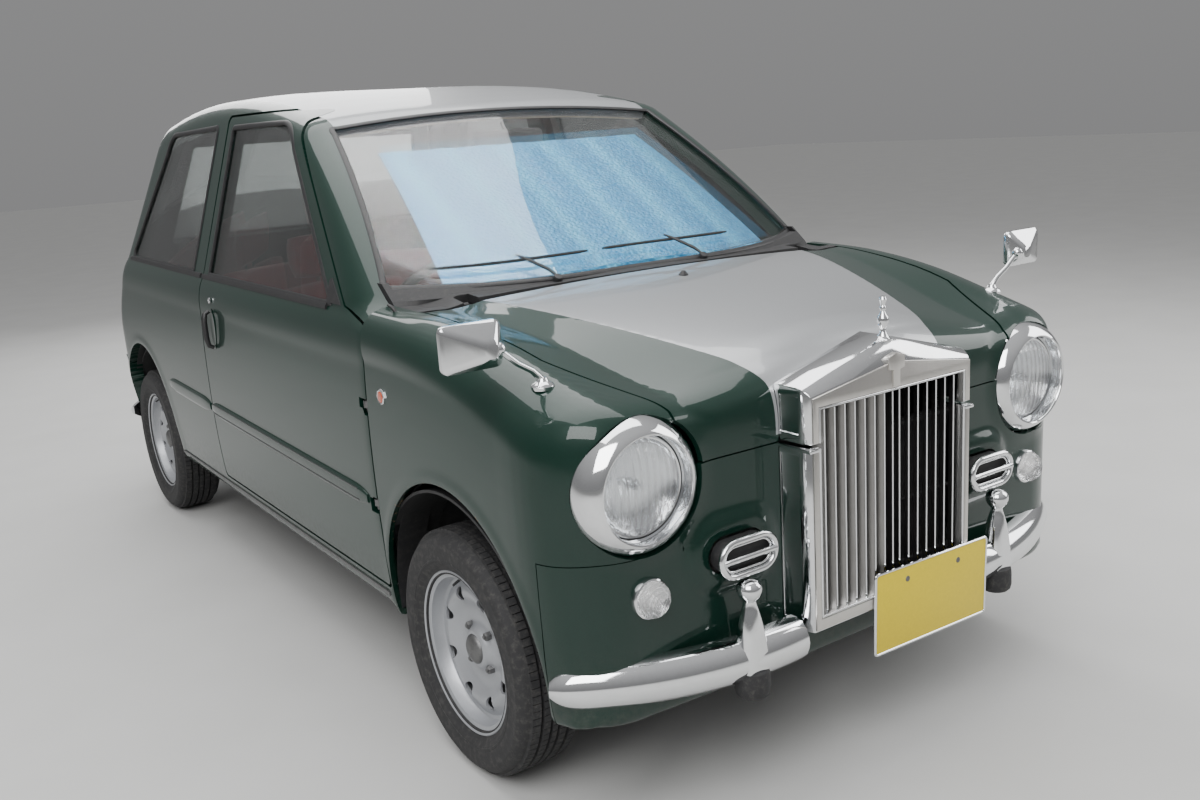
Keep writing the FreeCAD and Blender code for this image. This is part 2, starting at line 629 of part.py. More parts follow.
add("radiator_grille", joined(*grille))

# Lamps, inlets, plate and mirrors


def turned(profile, at, direction):
    """A solid of revolution: (radius, along) points turned about an axis."""
    face = Part.Face(Part.makePolygon([Vector(r, 0, a) for r, a in profile + profile[:1]]))
    solid = face.revolve(Vector(0, 0, 0), Vector(0, 0, 1), 360)
    solid.Placement = Placement(Vector(*at), Rotation(Vector(0, 0, 1), Vector(*direction)))
    return solid


forward = (0, -1, 0)
bezel = [(size.bezel_radius, 0), (size.bezel_radius, 24), (size.bezel_radius - 8, 40), (size.lens_radius + 16, 56),
         (size.lens_radius + 8, 58), (size.lens_radius + 2, 54), (size.lens_radius + 2, 0)]
add("headlamp_bezels", pair(turned(bezel, (size.lamp_half, -1494, size.lamp_z), forward)))
lens = [(0, 0), (size.lens_radius + 1.7, 0), (size.lens_radius + 1.7, 46), (size.lens_radius * 0.8, 53),
        (size.lens_radius * 0.4, 58), (0, 60)]
add("headlamp_lenses", pair(turned(lens, (size.lamp_half, -1494, size.lamp_z), forward)))
turn = [(0, 0), (size.turn_radius, 0), (size.turn_radius, 42), (size.turn_radius * 0.8, 54),
        (size.turn_radius * 0.4, 60), (0, 62)]
repeater = rod((size.shoulder_half - 8, -868, 749), (703, -868, 749), 16).cut(front_solid)
add("turn_lamps", Part.makeCompound(pair(turned(turn, (size.turn_half, -1508, size.turn_z), forward)).Solids
                                    + pair(repeater).Solids))
ring = slot(size.inlet_width, size.inlet_height, -1587, -1540).cut(
    slot(size.inlet_width - 24, size.inlet_height - 24, -1600, -1550))
ring = ring.fuse(pair(rod((size.inlet_half - 60, -1580, size.inlet_z), (size.inlet_half + 60, -1580, size.inlet_z), 5)))
add("air_inlets", Part.makeCompound(ring.removeSplitter().Solids))
plate = prism("xz", size.shell_front_y - size.seat - 6, size.shell_front_y - size.seat,
              (size.plate_x - size.plate_width / 2, size.plate_z - size.plate_height / 2),
              (size.plate_x + size.plate_width / 2, size.plate_z - size.plate_height / 2),
              (size.plate_x + size.plate_width / 2, size.plate_z + size.plate_height / 2),
              (size.plate_x - size.plate_width / 2, size.plate_z + size.plate_height / 2))
add("number_plate", plate)
foot = rod((size.mirror_half, size.mirror_foot_y, 800), (size.mirror_half + 6, size.mirror_foot_y, 850), 14)
arm = rod((size.mirror_half + 4, size.mirror_foot_y, 842), (690, size.mirror_foot_y - 6, 912), 6)
ball = Part.makeSphere(13, Vector(692, size.mirror_foot_y - 6, 913))
head = prism("xz", size.mirror_foot_y + 8, size.mirror_foot_y + 20, (676, 880), (790, 880), (790, 962), (676, 962))
back = Part.makeLoft([outline("xz", size.mirror_foot_y + 8, (676, 880), (790, 880), (790, 962), (676, 962)),
                      outline("xz", size.mirror_foot_y - 14, (700, 903), (722, 903), (722, 925), (700, 925))],
                     True, True)
add("fender_mirrors", pair(joined(foot, arm, ball, head, back).cut(front_solid)))

# Bumpers


def bar(points, height, depth):
    """A bumper bar with a bowed front: its section turned about the centre of the arc through three points."""
    first, via, last = (Vector(x, y, 0) for x, y in points)
    centre = Part.Circle(first, via, last).Center
    start, end = first - centre, last - centre
    reach = start.Length
    along = Vector(start).normalize()
    section = Part.Wire([
        Part.Arc(centre + along * (reach - depth * 0.5) + Vector(0, 0, size.bumper_z - height / 2),
                 centre + along * (reach + depth * 0.5) + Vector(0, 0, size.bumper_z),
                 centre + along * (reach - depth * 0.5) + Vector(0, 0, size.bumper_z + height / 2)).toShape(),
        Part.makeLine(centre + along * (reach - depth * 0.5) + Vector(0, 0, size.bumper_z + height / 2),
                      centre + along * (reach - depth * 0.5) + Vector(0, 0, size.bumper_z - height / 2))])
    angle = math.degrees(start.getAngle(end))
    if start.cross(end).z < 0:
        angle = -angle
    return Part.Face(section).revolve(centre, Vector(0, 0, 1), angle)


over = [(0, 0), (30, 0), (33, 12), (30, 70), (19, 140), (11, 180), (11, 184), (19, 190), (23, 204), (19, 217),
        (0, 222)]
right_bar = bar(((size.shell_half + 6, -1590), (480, -1560), (688, -1448)), size.bumper_height, size.bumper_depth)
bracket = box((400, -1570, 300), (440, -1500, 336))
front_half = joined(right_bar, turned(over, (size.over_half, -1588, 248), (0, 0, 1)), bracket)
add("front_bumper", pair(carved(front_half, front_solid.common(nose_zone), inlet_bulge)))
rear_bar = bar(((0, 1626), (400, 1604), (694, 1488)), size.bumper_height, size.bumper_depth)
rear_over = turned(over, (size.over_half, 1614, 248), (0, 0, 1))
rear_half = joined(rear_bar, rear_over, box((300, 1540, 290), (340, 1606, 330)))
add("rear_bumper", joined(rear_half, mirrored(rear_half)).cut(cabin_solid))

# Glass

screen_face = Vector(0, 0.53, -0.85)
tail_face = Vector(0, -0.88, -0.47)


def pane(direction, depth):
    """The cabin's form moved inwards along a window's normal."""
    form = side_view(0)
    form.translate(direction * depth)
    return form


def glazing(outer, inner, hole):
    """A window: what lies between an outer and an inner form, inside its opening."""
    return outer.cut(inner).common(hole)


back_of_glass = size.glass_inset + size.glass
add("windscreen", glazing(pane(screen_face, size.glass_inset), pane(screen_face, back_of_glass), windscreen_hole()))
side_pane = front_view(size.glass_inset, 1400).cut(front_view(back_of_glass, 1400))
add("quarter_glass", side_pane.common(quarter_window()))
shade_zone = prism("xz", -1000, -100, (-505, 880), (505, 880), (400, 1262), (-400, 1262))
add("windscreen_shade", shared(glazing(pane(screen_face, 34), pane(screen_face, 40), shade_zone), cabin_space))


def wiper(x):
    """A parked wiper seen from the front: its arm and its blade, over a pivot at x."""
    arm = prism("xz", -1000, -500, (x - 9, 928), (x + 9, 928), (x + 6, 956), (x - 52, 992), (x - 58, 982), (x - 8, 950))
    return arm.fuse(prism("xz", -1000, -500, (x - 250, 970), (x + 130, 970), (x + 130, 982), (x - 250, 982)))


wiper_band = glazing(pane(screen_face, -10), pane(screen_face, -size.seat), windscreen_hole(30))
add("wipers", Part.makeCompound([solid for x in (-250, 170) for solid in shared(wiper_band, wiper(x)).cut(cowl).Solids]))

# Doors and tailgate

door_rebate = box((-size.door_pin_half + 17, size.door_front_y, size.door_low_z),
                  (-600, size.door_pin_y + 17, size.belt_z))
for side, turn_over in (("right", lambda shape: shape), ("left", mirrored)):
    door = shared(door_slab, cabin_solid, door_edge(size.shut_gap)).cut(door_window())
    door = carved(door, *wells, *arches, door_rebate, *(notch for _, notch, _ in door_hinges))
    add(f"door_{side}", turn_over(joined(door, *(eye for _, _, eye in door_hinges))))
    add(f"door_glass_{side}", turn_over(side_pane.common(door_window())))
    grip = box((-size.waist_half - 16, 262, 706), (-size.waist_half - 8, 284, 822))
    grip = grip.fuse([box((-size.waist_half - 12, 264, 710), (-680, 282, 726)),
                      box((-size.waist_half - 12, 264, 800), (-680, 282, 816))])
    add(f"door_handle_{side}", turn_over(grip.cut(cabin_solid)))
tail_arm = joined(rod((arm_x, tail_pin_y, size.tail_pin_z), (arm_x + 10, tail_pin_y, size.tail_pin_z), 7.5),
                  box((arm_x, tail_pin_y + 4, size.tail_pin_z - 32), (arm_x + 10, tail_pin_y + 34, size.tail_pin_z)))
tail_eye = rod((arm_x - 1, tail_pin_y, size.tail_pin_z), (arm_x + 11, tail_pin_y, size.tail_pin_z),
               size.pin_radius + size.pin_clear)
tailgate = carved(shared(cabin_shell, tailgate_edge(size.shut_gap), tail_side(size.shut_gap)), tailgate_window())
add("tailgate", joined(tailgate, *pair(tail_arm).Solids).cut(pair(tail_eye)))
tail_pane = pane(tail_face, size.glass_inset).cut(pane(tail_face, back_of_glass))
add("tailgate_glass", tail_pane.common(tailgate_window()))

# Interior

column_low, column_high = Vector(size.driver_x, -610, 712.8), Vector(size.driver_x, -490, 770.9)
dash = prism("yz", -590, 590, (-840, 600), (-600, 600), (-560, 700), (-580, 840), (-640, 880), (-840, 890))
shroud = rod(column_low, column_high, 30)
column_bore = rod(column_low + (column_high - column_low) * 0.2, column_high, 16 + size.seat)
add("dashboard", shared(dash, cabin_space).fuse(shroud).cut(column_bore))


def chair_side(width):
    """A front seat in side view: base, cushion, back and head rest."""
    return prism("yz", -width / 2, width / 2, (-240, under_floor), (150, under_floor), (150, 330), (215, 400),
                 (300, 700), (345, 840), (370, 960), (350, 1010, 300, 1000), (262, 850), (200, 800), (120, 500),
                 (60, 450), (-240, 480), (-300, 450, -290, 380), (-240, 330))


chair = chair_side(450)
chair.translate(Vector(-size.driver_x, 0, 0))
add("front_seats", pair(chair))
bench = prism("yz", -size.rear_well_half + 12, size.rear_well_half - 12, (560, under_floor), (750, under_floor),
              (750, 445), (1010, 445), (1090, 820), (1040, 850, 1000, 820), (880, 520), (600, 510), (540, 480, 560, 420))
add("rear_seat", bench)
ceiling = cabin_space.copy()
ceiling.translate(Vector(0, 0, -12))
visor = shared(prism("yz", -390, -60, (-240, 1200), (-120, 1260), (-120, 1500), (-240, 1500)), cabin_space).cut(ceiling)
add("sun_visors", pair(visor))

hub = Vector(size.driver_x, -430, 800)
axis = Vector(0, 0.9, 0.436).normalize()
tilt = Rotation(Vector(0, 0, 1), axis)
wheel_ring = Part.makeTorus(size.steer_wheel_radius, 13)
spokes = [rod((0, 0, -8), (size.steer_wheel_radius * math.cos(a), size.steer_wheel_radius * math.sin(a), 0), 11)
          for a in (math.radians(d) for d in (0, 180, 270))]
boss = Part.makeCylinder(42, 44, Vector(0, 0, -34)).fuse(Part.makeCylinder(16, 130, Vector(0, 0, -150)))
steering = joined(wheel_ring, boss, *spokes)
steering.Placement = Placement(hub, tilt)
add("steering_wheel", steering)

# Running gear

rear_axle_y = size.front_axle_y + size.wheelbase
half_track = size.track / 2
engine_place = Placement(Vector(size.engine_x, size.engine_y, size.engine_z), Rotation())
primitive("Part::Box", "engine", engine_place, Length="Dimensions.engine_length", Width="Dimensions.engine_depth",
          Height="Dimensions.engine_height")


def on_steer_axis(reach):
    """A point of the left knuckle's steering axis, from the foot of its upright."""
    return (556 - 0.185 * reach, size.front_axle_y, 158 + 0.983 * reach)


def knuckle():
    """A steering knuckle with its spindle, disc, strut and arm, on the left."""
    y, z = size.front_axle_y, size.tyre_radius
    pin = rod((half_track - 50, y, z), (half_track + 28, y, z), size.hub_bore - size.hub_clear)
    flange = rod((half_track - 36, y, z), (half_track, y, z), 50)
    disc = rod((half_track - 20, y, z), (half_track - 10, y, z), 104)
    upright = rod(on_steer_axis(0), on_steer_axis(258), 22)
    strut = rod((513, y, 380), (456, y, 689), 24)
    ball = rod(on_steer_axis(0), on_steer_axis(-33), size.knuckle_eye)
    spring = rod((484, y, 540), (459, y, 676), 46)
    arm = rod((545, y, 240), (520, y + 128, 226), 13)
    return joined(pin, flange, disc, upright, strut, ball, spring, arm)


add("knuckle_left", knuckle())
add("knuckle_right", mirrored(knuckle()))
arm_bore = rod(on_steer_axis(-44), on_steer_axis(6), size.knuckle_eye + size.pin_clear)
arm_eye = rod(on_steer_axis(-34), on_steer_axis(-14), 20)
lower_arm = prism("xz", size.front_axle_y - 14, size.front_axle_y + 14,
                  (300, 168), (552, 128), (552, 140), (300, 192)).fuse(arm_eye).cut(arm_bore)
beam = box((-330, size.front_axle_y - 60, 150), (330, size.front_axle_y + 60, 200))
rack = rod((-330, size.front_axle_y + 150, 236), (330, size.front_axle_y + 150, 236), 22)
stays = pair(box((240, size.front_axle_y + 40, 160), (300, size.front_axle_y + 280, 234)))
mounts = pair(box((140, size.front_axle_y - 40, 190),
                  (220, size.front_axle_y + 40, size.engine_z - size.seat)))
add("front_suspension", joined(beam, rack, lower_arm, mirrored(lower_arm), *stays.Solids, *mounts.Solids))


def rear_arm():
    """A trailing arm with its spindle, damper and spring, on the left."""
    z = size.tyre_radius
    pin = rod((half_track - 60, rear_axle_y, z), (half_track + 28, rear_axle_y, z), size.hub_bore - size.hub_clear)
    drum = rod((half_track - 50, rear_axle_y, z), (half_track - 2, rear_axle_y, z), 96)
    arm = rod((440, 900, 280), (half_track - 44, rear_axle_y, z), 26)
    damper = rod((half_track - 44, rear_axle_y + 30, 250), (500, rear_axle_y + 40, size.rear_floor_z - 6), 20)
    spring = rod((400, rear_axle_y - 60, 270), (400, rear_axle_y - 60, size.rear_floor_z - size.seat), 48)
    return joined(pin, drum, arm, damper, spring, rod((400, rear_axle_y - 60, 270), (half_track - 48, rear_axle_y, z), 20))


cross_beam = rod((-470, 900, 280), (470, 900, 280), 36)
add("rear_axle", joined(cross_beam, rear_arm(), mirrored(rear_arm())))
pipe_x, pipe_z, down_y, pipe_radius = 150, 186, size.engine_y + size.engine_depth + 4, 20
run = [(pipe_x, down_y, size.engine_z - size.seat), (pipe_x, down_y, pipe_z), (pipe_x, 900, pipe_z), (330, 1300, 198),
       (330, 1610, 196)]
pipes = [rod(start, end, pipe_radius) for start, end in zip(run, run[1:])]
elbows = [Part.makeSphere(pipe_radius + 4, Vector(*bend)) for bend in run[1:-1]]
silencer = rod((pipe_x, 200, pipe_z), (pipe_x, 620, pipe_z), 46)
hanger = rod((pipe_x, 700, pipe_z), (pipe_x, 700, size.floor_z), 8)
add("exhaust", joined(*pipes, silencer, *elbows, hanger))

# Wheels

D = "Dimensions."
rim_half, flange = D + "rim_width / 2", D + "rim_flange"
RIM = (
    ("-" + rim_half, flange), ("6 - " + rim_half, flange), ("6 - " + rim_half, D + "tyre_inner"),
    ("-20", D + "tyre_inner - 2"), ("-14", D + "tyre_inner - 20"), ("14", D + "tyre_inner - 20"),
    ("20", D + "tyre_inner - 2"), (rim_half + " - 6", D + "tyre_inner"), (rim_half + " - 6", flange),
    (rim_half, flange), (rim_half, flange + " - 6"), (rim_half + " - 2", D + "tyre_inner - 7"),
    ("26", D + "tyre_inner - 9"), ("20", D + "tyre_inner - 26"), ("30", "122"), ("34", "104"), ("14", "76"),
    ("16", "40"), ("30", "34"), ("30", D + "hub_bore"), ("6", D + "hub_bore"), ("6", "78"), ("24", "106"),
    ("20", "120"), ("8", D + "tyre_inner - 26"), ("-14", D + "tyre_inner - 26"), ("-20", D + "tyre_inner - 9"),
    ("2 - " + rim_half, D + "tyre_inner - 7"), ("-" + rim_half, flange + " - 6"),
)
bead = rim_half + " - 6.3"
TYRE = (
    ("6.3 - " + rim_half, D + "tyre_inner + 0.3"), ("6.3 - " + rim_half, flange + " + 1"),
    ("6 - " + D + "tyre_width / 2", flange + " + 14"), ("-" + D + "tyre_width / 2", "208"),
    ("2 - " + D + "tyre_width / 2", "228"), ("10 - " + D + "tyre_width / 2", D + "tyre_radius - 9"),
    ("20 - " + D + "tyre_width / 2", D + "tyre_radius - 2"), ("-26", D + "tyre_radius"), ("26", D + "tyre_radius"),
    (D + "tyre_width / 2 - 20", D + "tyre_radius - 2"), (D + "tyre_width / 2 - 10", D + "tyre_radius - 9"),
    (D + "tyre_width / 2 - 2", "228"), (D + "tyre_width / 2", "208"), (D + "tyre_width / 2 - 6", flange + " + 14"),
    (bead, flange + " + 1"), (bead, D + "tyre_inner + 0.3"), ("40", D + "tyre_inner + 4"), ("60", "206"),
    ("50", D + "tyre_radius - 14"), ("-50", D + "tyre_radius - 14"), ("-60", "206"), ("-40", D + "tyre_inner + 4"),
)
for end, axle_y in (("front", size.front_axle_y), ("rear", rear_axle_y)):
    for side, sign, spin in (("right", -1, 180), ("left", 1, 0)):
        place = Placement(Vector(sign * half_track, axle_y, size.tyre_radius), Rotation(Vector(0, 0, 1), spin))
        revolved_body(f"tyre_{end}_{side}", place, "XY_Plane", "H_Axis", TYRE)
        rim = revolved_body(f"rim_{end}_{side}", place, "XY_Plane", "H_Axis", RIM)
        hole = rim.newObject("Sketcher::SketchObject", rim.Name + "VentSketch")
        plane = [item for item in rim.Origin.OriginFeatures if item.Role == "YZ_Plane"][0]
        hole.AttachmentSupport = (plane, [""])
        hole.MapMode = "FlatFace"
        hole.addGeometry(Part.Circle(Vector(size.vent_ring, 0, 0), Vector(0, 0, 1), size.vent_radius), False)
        hole.addConstraint(Sketcher.Constraint("PointOnObject", 0, 3, -1))
        number = hole.addConstraint(Sketcher.Constraint("DistanceX", -1, 1, 0, 3, size.vent_ring))
        hole.setExpression(f"Constraints[{number}]", D + "vent_ring")
        number = hole.addConstraint(Sketcher.Constraint("Radius", 0, size.vent_radius))
        hole.setExpression(f"Constraints[{number}]", D + "vent_radius")
        vent = rim.newObject("PartDesign::Pocket", rim.Name + "Vent")
        vent.Profile = hole
        vent.Length = 60
        vent.Reversed = True
        pattern = rim.newObject("PartDesign::PolarPattern", rim.Name + "Vents")
        pattern.Originals = [vent]
        pattern.Axis = (rim.Origin.OriginFeatures[0], [""])
        pattern.Angle = 360
        pattern.setExpression("Occurrences", D + "vent_count")
        rim.Tip = pattern

doc.recompute()
os.makedirs("parts", exist_ok=True)
for item in doc.Objects:
    if "Invalid" in item.State or "Error" in item.State:
        raise RuntimeError(f"{item.Label} failed: {item.State}")
for node in nodes:
    shape = node.Shape
    if shape.isNull() or not shape.isValid() or not shape.Solids:
        raise RuntimeError(f"{node.Label} has no valid shape")
    shape.exportStep(f"parts/{node.Label}.step")
    print(f"{node.Label:20s} {len(shape.Solids)} solids {shape.Volume / 1e6:9.2f} litres")
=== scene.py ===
"""The looks of a small green hatchback with an upright radiator shell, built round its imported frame.

Metres in every mesh. The tables of the body's outer form are in millimetres.
"""
import json
import logging
import math
from dataclasses import dataclass, field
from enum import Enum
from typing import Callable, Sequence

import bmesh
import bpy
import numpy as np
from mathutils import Matrix, Vector


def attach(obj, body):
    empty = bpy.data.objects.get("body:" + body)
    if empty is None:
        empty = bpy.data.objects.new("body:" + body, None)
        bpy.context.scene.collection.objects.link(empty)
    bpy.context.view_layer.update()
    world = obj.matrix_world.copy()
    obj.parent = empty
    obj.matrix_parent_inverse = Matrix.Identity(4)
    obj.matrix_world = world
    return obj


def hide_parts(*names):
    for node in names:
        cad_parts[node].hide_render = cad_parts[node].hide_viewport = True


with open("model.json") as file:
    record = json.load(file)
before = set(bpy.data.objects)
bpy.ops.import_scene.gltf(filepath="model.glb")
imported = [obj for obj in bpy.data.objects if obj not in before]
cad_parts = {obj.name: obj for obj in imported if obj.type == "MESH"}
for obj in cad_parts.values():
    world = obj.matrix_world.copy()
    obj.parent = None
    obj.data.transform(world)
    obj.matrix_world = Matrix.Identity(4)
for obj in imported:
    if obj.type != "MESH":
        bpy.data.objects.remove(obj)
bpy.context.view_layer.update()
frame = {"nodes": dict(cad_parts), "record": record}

log = logging.getLogger("kei_car")
MM = 0.001
Point2 = tuple[float, float]
Point3 = tuple[float, float, float]


# Shader graphs


class Value:
    """A node socket, or a number, that takes part in shader arithmetic."""

    def __init__(self, graph: "Graph", source: object) -> None:
        """Keeps the graph it belongs to and the socket or number."""
        self.graph = graph
        self.source = source

    def _math(self, operation: str, *others: object) -> "Value":
        """Adds a Math node.

        Args:
            operation: The Math node's operation.
            others: The further inputs, as values or numbers.

        Returns:
            The node's output.
        """
        return self.graph.node("ShaderNodeMath", {"operation": operation}, {
            index: item for index, item in enumerate((self, *others))})

    def __add__(self, other: object) -> "Value":
        """Sum."""
        return self._math("ADD", other)

    def __sub__(self, other: object) -> "Value":
        """Difference."""
        return self._math("SUBTRACT", other)

    def __rsub__(self, other: object) -> "Value":
        """Reflected difference, so that 1 - mask works."""
        return Value(self.graph, other)._math("SUBTRACT", self)

    def __mul__(self, other: object) -> "Value":
        """Product."""
        return self._math("MULTIPLY", other)

    def __truediv__(self, other: object) -> "Value":
        """Quotient."""
        return self._math("DIVIDE", other)

    def __pow__(self, other: object) -> "Value":
        """Power."""
        return self._math("POWER", other)

    def wave(self) -> "Value":
        """Sine."""
        return self._math("SINE")

    __radd__ = __add__
    __rmul__ = __mul__

    def above(self, edge: float, soft: float = 0.05) -> "Value":
        """A mask that rises from 0 to 1 round an edge.

        Args:
            edge: Where the mask is a half.
            soft: Half the width of the rise.

        Returns:
            The mask.
        """
        return self.graph.node("ShaderNodeMapRange", {"interpolation_type": "SMOOTHSTEP"}, {
            "Value": self, "From Min": edge - soft, "From Max": edge + soft})


class Graph:
    """The node tree of one material, with its Principled shader."""

    def __init__(self, name: str) -> None:
        """Makes the material and its output.

        Args:
            name: The material's name.
        """
        self.material = bpy.data.materials.new(name)
        self.material.use_nodes = True
        self.tree = self.material.node_tree
        self.shader = self.tree.nodes["Principled BSDF"]
        self.coords: dict[str, Value] = {}

    def node(self, kind: str, settings: dict | None = None, links: dict | None = None,
             out: int | str = 0) -> Value:
        """Adds any node.

        Args:
            kind: The node's type.
            settings: Properties, set first. A ramp's stops are given as "stops".
            links: Values or numbers for its inputs, by name or index.
            out: Which output is wanted.

        Returns:
            That output.
        """
        made = self.tree.nodes.new(kind)
        for key, value in (settings or {}).items():
            if key == "stops":
                ramp = made.color_ramp.elements
                while len(ramp) < len(value):
                    ramp.new(0.5)
                for element, (position, color) in zip(ramp, value):
                    element.position, element.color = position, color
            else:
                setattr(made, key, value)
        for key, value in (links or {}).items():
            self.feed(made.inputs[key], value)
        return Value(self, made.outputs[out])

    def feed(self, socket: bpy.types.NodeSocket, value: object) -> None:
        """Links a value to a socket, or sets a plain number on it."""
        source = value.source if isinstance(value, Value) else value
        if isinstance(source, bpy.types.NodeSocket):
            self.tree.links.new(source, socket)
        else:
            socket.default_value = source

    def at(self, scale: Sequence[float] = (1, 1, 1), turn: Sequence[float] = (0, 0, 0),
           shift: Sequence[float] = (0, 0, 0)) -> Value:
        """Object coordinates through a Mapping node.

        Args:
            scale: The mapping's scale.
            turn: Its rotation in radians.
            shift: Its location.

        Returns:
            The mapped vector.
        """
        if "object" not in self.coords:
            self.coords["object"] = self.node("ShaderNodeTexCoord", out="Object")
        return self.node("ShaderNodeMapping", None, {
            "Vector": self.coords["object"], "Scale": tuple(scale), "Rotation": tuple(turn),
            "Location": tuple(shift)})

    def noise(self, scale: float, detail: float = 3.0, rough: float = 0.5,
              stretch: Sequence[float] = (1, 1, 1)) -> Value:
        """A noise value over Object coordinates.

        Args:
            scale: Cells to a metre.
            detail: Octaves.
            rough: How strong the fine octaves are.
            stretch: A scale for each axis.

        Returns:
            The noise, about 0.5 on average.
        """
        return self.node("ShaderNodeTexNoise", None, {
            "Vector": self.at(stretch), "Scale": scale, "Detail": detail, "Roughness": rough})

    def axis(self, name: str) -> Value:
        """One of the Object coordinates, in metres."""
        if "split" not in self.coords:
            self.coords["split"] = self.node("ShaderNodeSeparateXYZ", None, {"Vector": self.at()})
        node = self.coords["split"].source.node
        return Value(self, node.outputs[name.upper()])

    def mix(self, mask: object, low: object, high: object) -> Value:
        """A colour between two, by a mask.

        Args:
            mask: 0 gives the low colour, 1 the high one.
            low: The first colour.
            high: The second colour.

        Returns:
            The mixed colour.
        """
        made = self.tree.nodes.new("ShaderNodeMix")
        made.data_type = "RGBA"
        for socket, value in zip((made.inputs[0], made.inputs[6], made.inputs[7]), (mask, low, high)):
            if isinstance(value, tuple) and len(value) == 3:
                value = (*value, 1.0)
            self.feed(socket, value)
        return Value(self, made.outputs[2])

    def bump(self, height: Value, distance: float, strength: float = 1.0) -> None:
        """Links a height to the shader's normal.

        Args:
            height: The height, 0 to 1.
            distance: What a height of 1 is, in metres.
            strength: The bump node's strength.
        """
        made = self.node("ShaderNodeBump", None, {"Height": height, "Distance": distance,
                                                  "Strength": strength})
        self.feed(self.shader.inputs["Normal"], made)

    def set(self, **values: object) -> None:
        """Sets or links the Principled shader's inputs, with _ for a space in a name."""
        for key, value in values.items():
            if isinstance(value, tuple) and len(value) == 3 and "olor" in key:
                value = (*value, 1.0)
            self.feed(self.shader.inputs[key.replace("_", " ")], value)


class Wear(Enum):
    """How worn a painted surface is."""

    NONE = 0
    DUST = 1
    CHIPS = 2


@dataclass(frozen=True)
class Finish:
    """A finished material with the record's slot that it belongs to."""

    material: bpy.types.Material
    slot: str


@dataclass(frozen=True)
class Paint:
    """Car paint: a coloured base with flake, a clear coat, dust low down and chips at the front arches."""

    name: str
    slot: str
    color: Point3
    second: Point3
    metallic: float = 0.5
    rough: float = 0.34
    coat: float = 1.0
    wear: Wear = Wear.DUST

    def make(self) -> Finish:
        """Builds the material."""
        g = Graph(self.name)
        flake = g.noise(1900.0, 1.0)
        color = g.mix(flake.above(0.56, 0.14) * 0.6 + g.noise(1.3, 2.0) * 0.2, self.color, self.second)
        rough = flake * 0.1 + (self.rough - 0.05)
        metal = Value(g, self.metallic)
        coat = Value(g, self.coat)
        if self.wear is not Wear.NONE:
            dust = (1 - g.axis("z").above(0.30, 0.14)) * g.noise(60.0, 6.0, 0.7).above(0.54, 0.2)
            color = g.mix(dust * 0.22, color, (0.13, 0.12, 0.105))
            rough = rough + dust * 0.25
        if self.wear is Wear.CHIPS:
            y, z = g.axis("y"), g.axis("z")
            far = ((y - FRONT_ARCH[0] * MM) ** 2 + (z - FRONT_ARCH[1] * MM) ** 2) ** 0.5
            lip = (1 - far.above(ARCH_RADIUS * MM + 0.004, 0.004)) * z.above(0.44, 0.05)
            chip = lip * g.noise(70.0, 6.0, 0.7).above(0.60, 0.02)
            color = g.mix(chip, color, (0.20, 0.13, 0.09))
            rough = rough + chip * 0.4
            metal = metal - chip * self.metallic
            coat = coat - chip * self.coat
        g.set(Base_Color=color, Roughness=rough, Metallic=metal, Coat_Weight=coat, Coat_Roughness=0.03,
              Specular_IOR_Level=0.15)
        g.bump(g.noise(110.0, 2.0), 0.00005, 0.25)
        return Finish(g.material, self.slot)


@dataclass(frozen=True)
class Metal:
    """Bare or plated metal, polished or brushed."""

    name: str
    slot: str
    color: Point3 = (0.80, 0.81, 0.82)
    rough: float = 0.06
    brushed: Point3 = (0.0, 0.0, 0.0)
    grime: float = 0.10

    def make(self) -> Finish:
        """Builds the material."""
        g = Graph(self.name)
        haze = g.noise(45.0, 6.0, 0.7).above(0.58, 0.16)
        pits = g.noise(900.0, 2.0).above(0.70, 0.04)
        color = g.mix(haze * self.grime + pits * self.grime, self.color, tuple(c * 0.5 for c in self.color))
        rough = haze * 0.06 + pits * 0.1 + self.rough
        if any(self.brushed):
            lines = g.noise(1.0, 4.0, 0.7, self.brushed)
            rough = rough + lines * 0.2
            g.bump(lines, 0.00008, 0.4)
        g.set(Base_Color=color, Metallic=1.0, Roughness=rough)
        return Finish(g.material, self.slot)


@dataclass(frozen=True)
class Moulded:
    """Plastic, rubber, leathercloth or flat paint with a fine grain."""

    name: str
    slot: str
    color: Point3
    rough: float = 0.55
    grain: float = 900.0
    depth: float = 0.0001
    coat: float = 0.0
    dusty: float = 0.12

    def make(self) -> Finish:
        """Builds the material."""
        g = Graph(self.name)
        fine = g.noise(160.0, 4.0, 0.6)
        grain = g.noise(self.grain, 2.0)
        pale = tuple(min(1.0, c * 1.35 + 0.004) for c in self.color)
        color = g.mix(fine * 0.5 + grain * 0.3, self.color, pale)
        dust = g.noise(75.0, 6.0, 0.75).above(0.60, 0.16) * self.dusty
        color = g.mix(dust, color, (0.17, 0.16, 0.145))
        g.set(Base_Color=color, Roughness=fine * 0.1 + dust * 0.3 + (self.rough - 0.05),
              Coat_Weight=self.coat, Coat_Roughness=0.06)
        g.bump(grain, self.depth, 0.6)
        return Finish(g.material, self.slot)


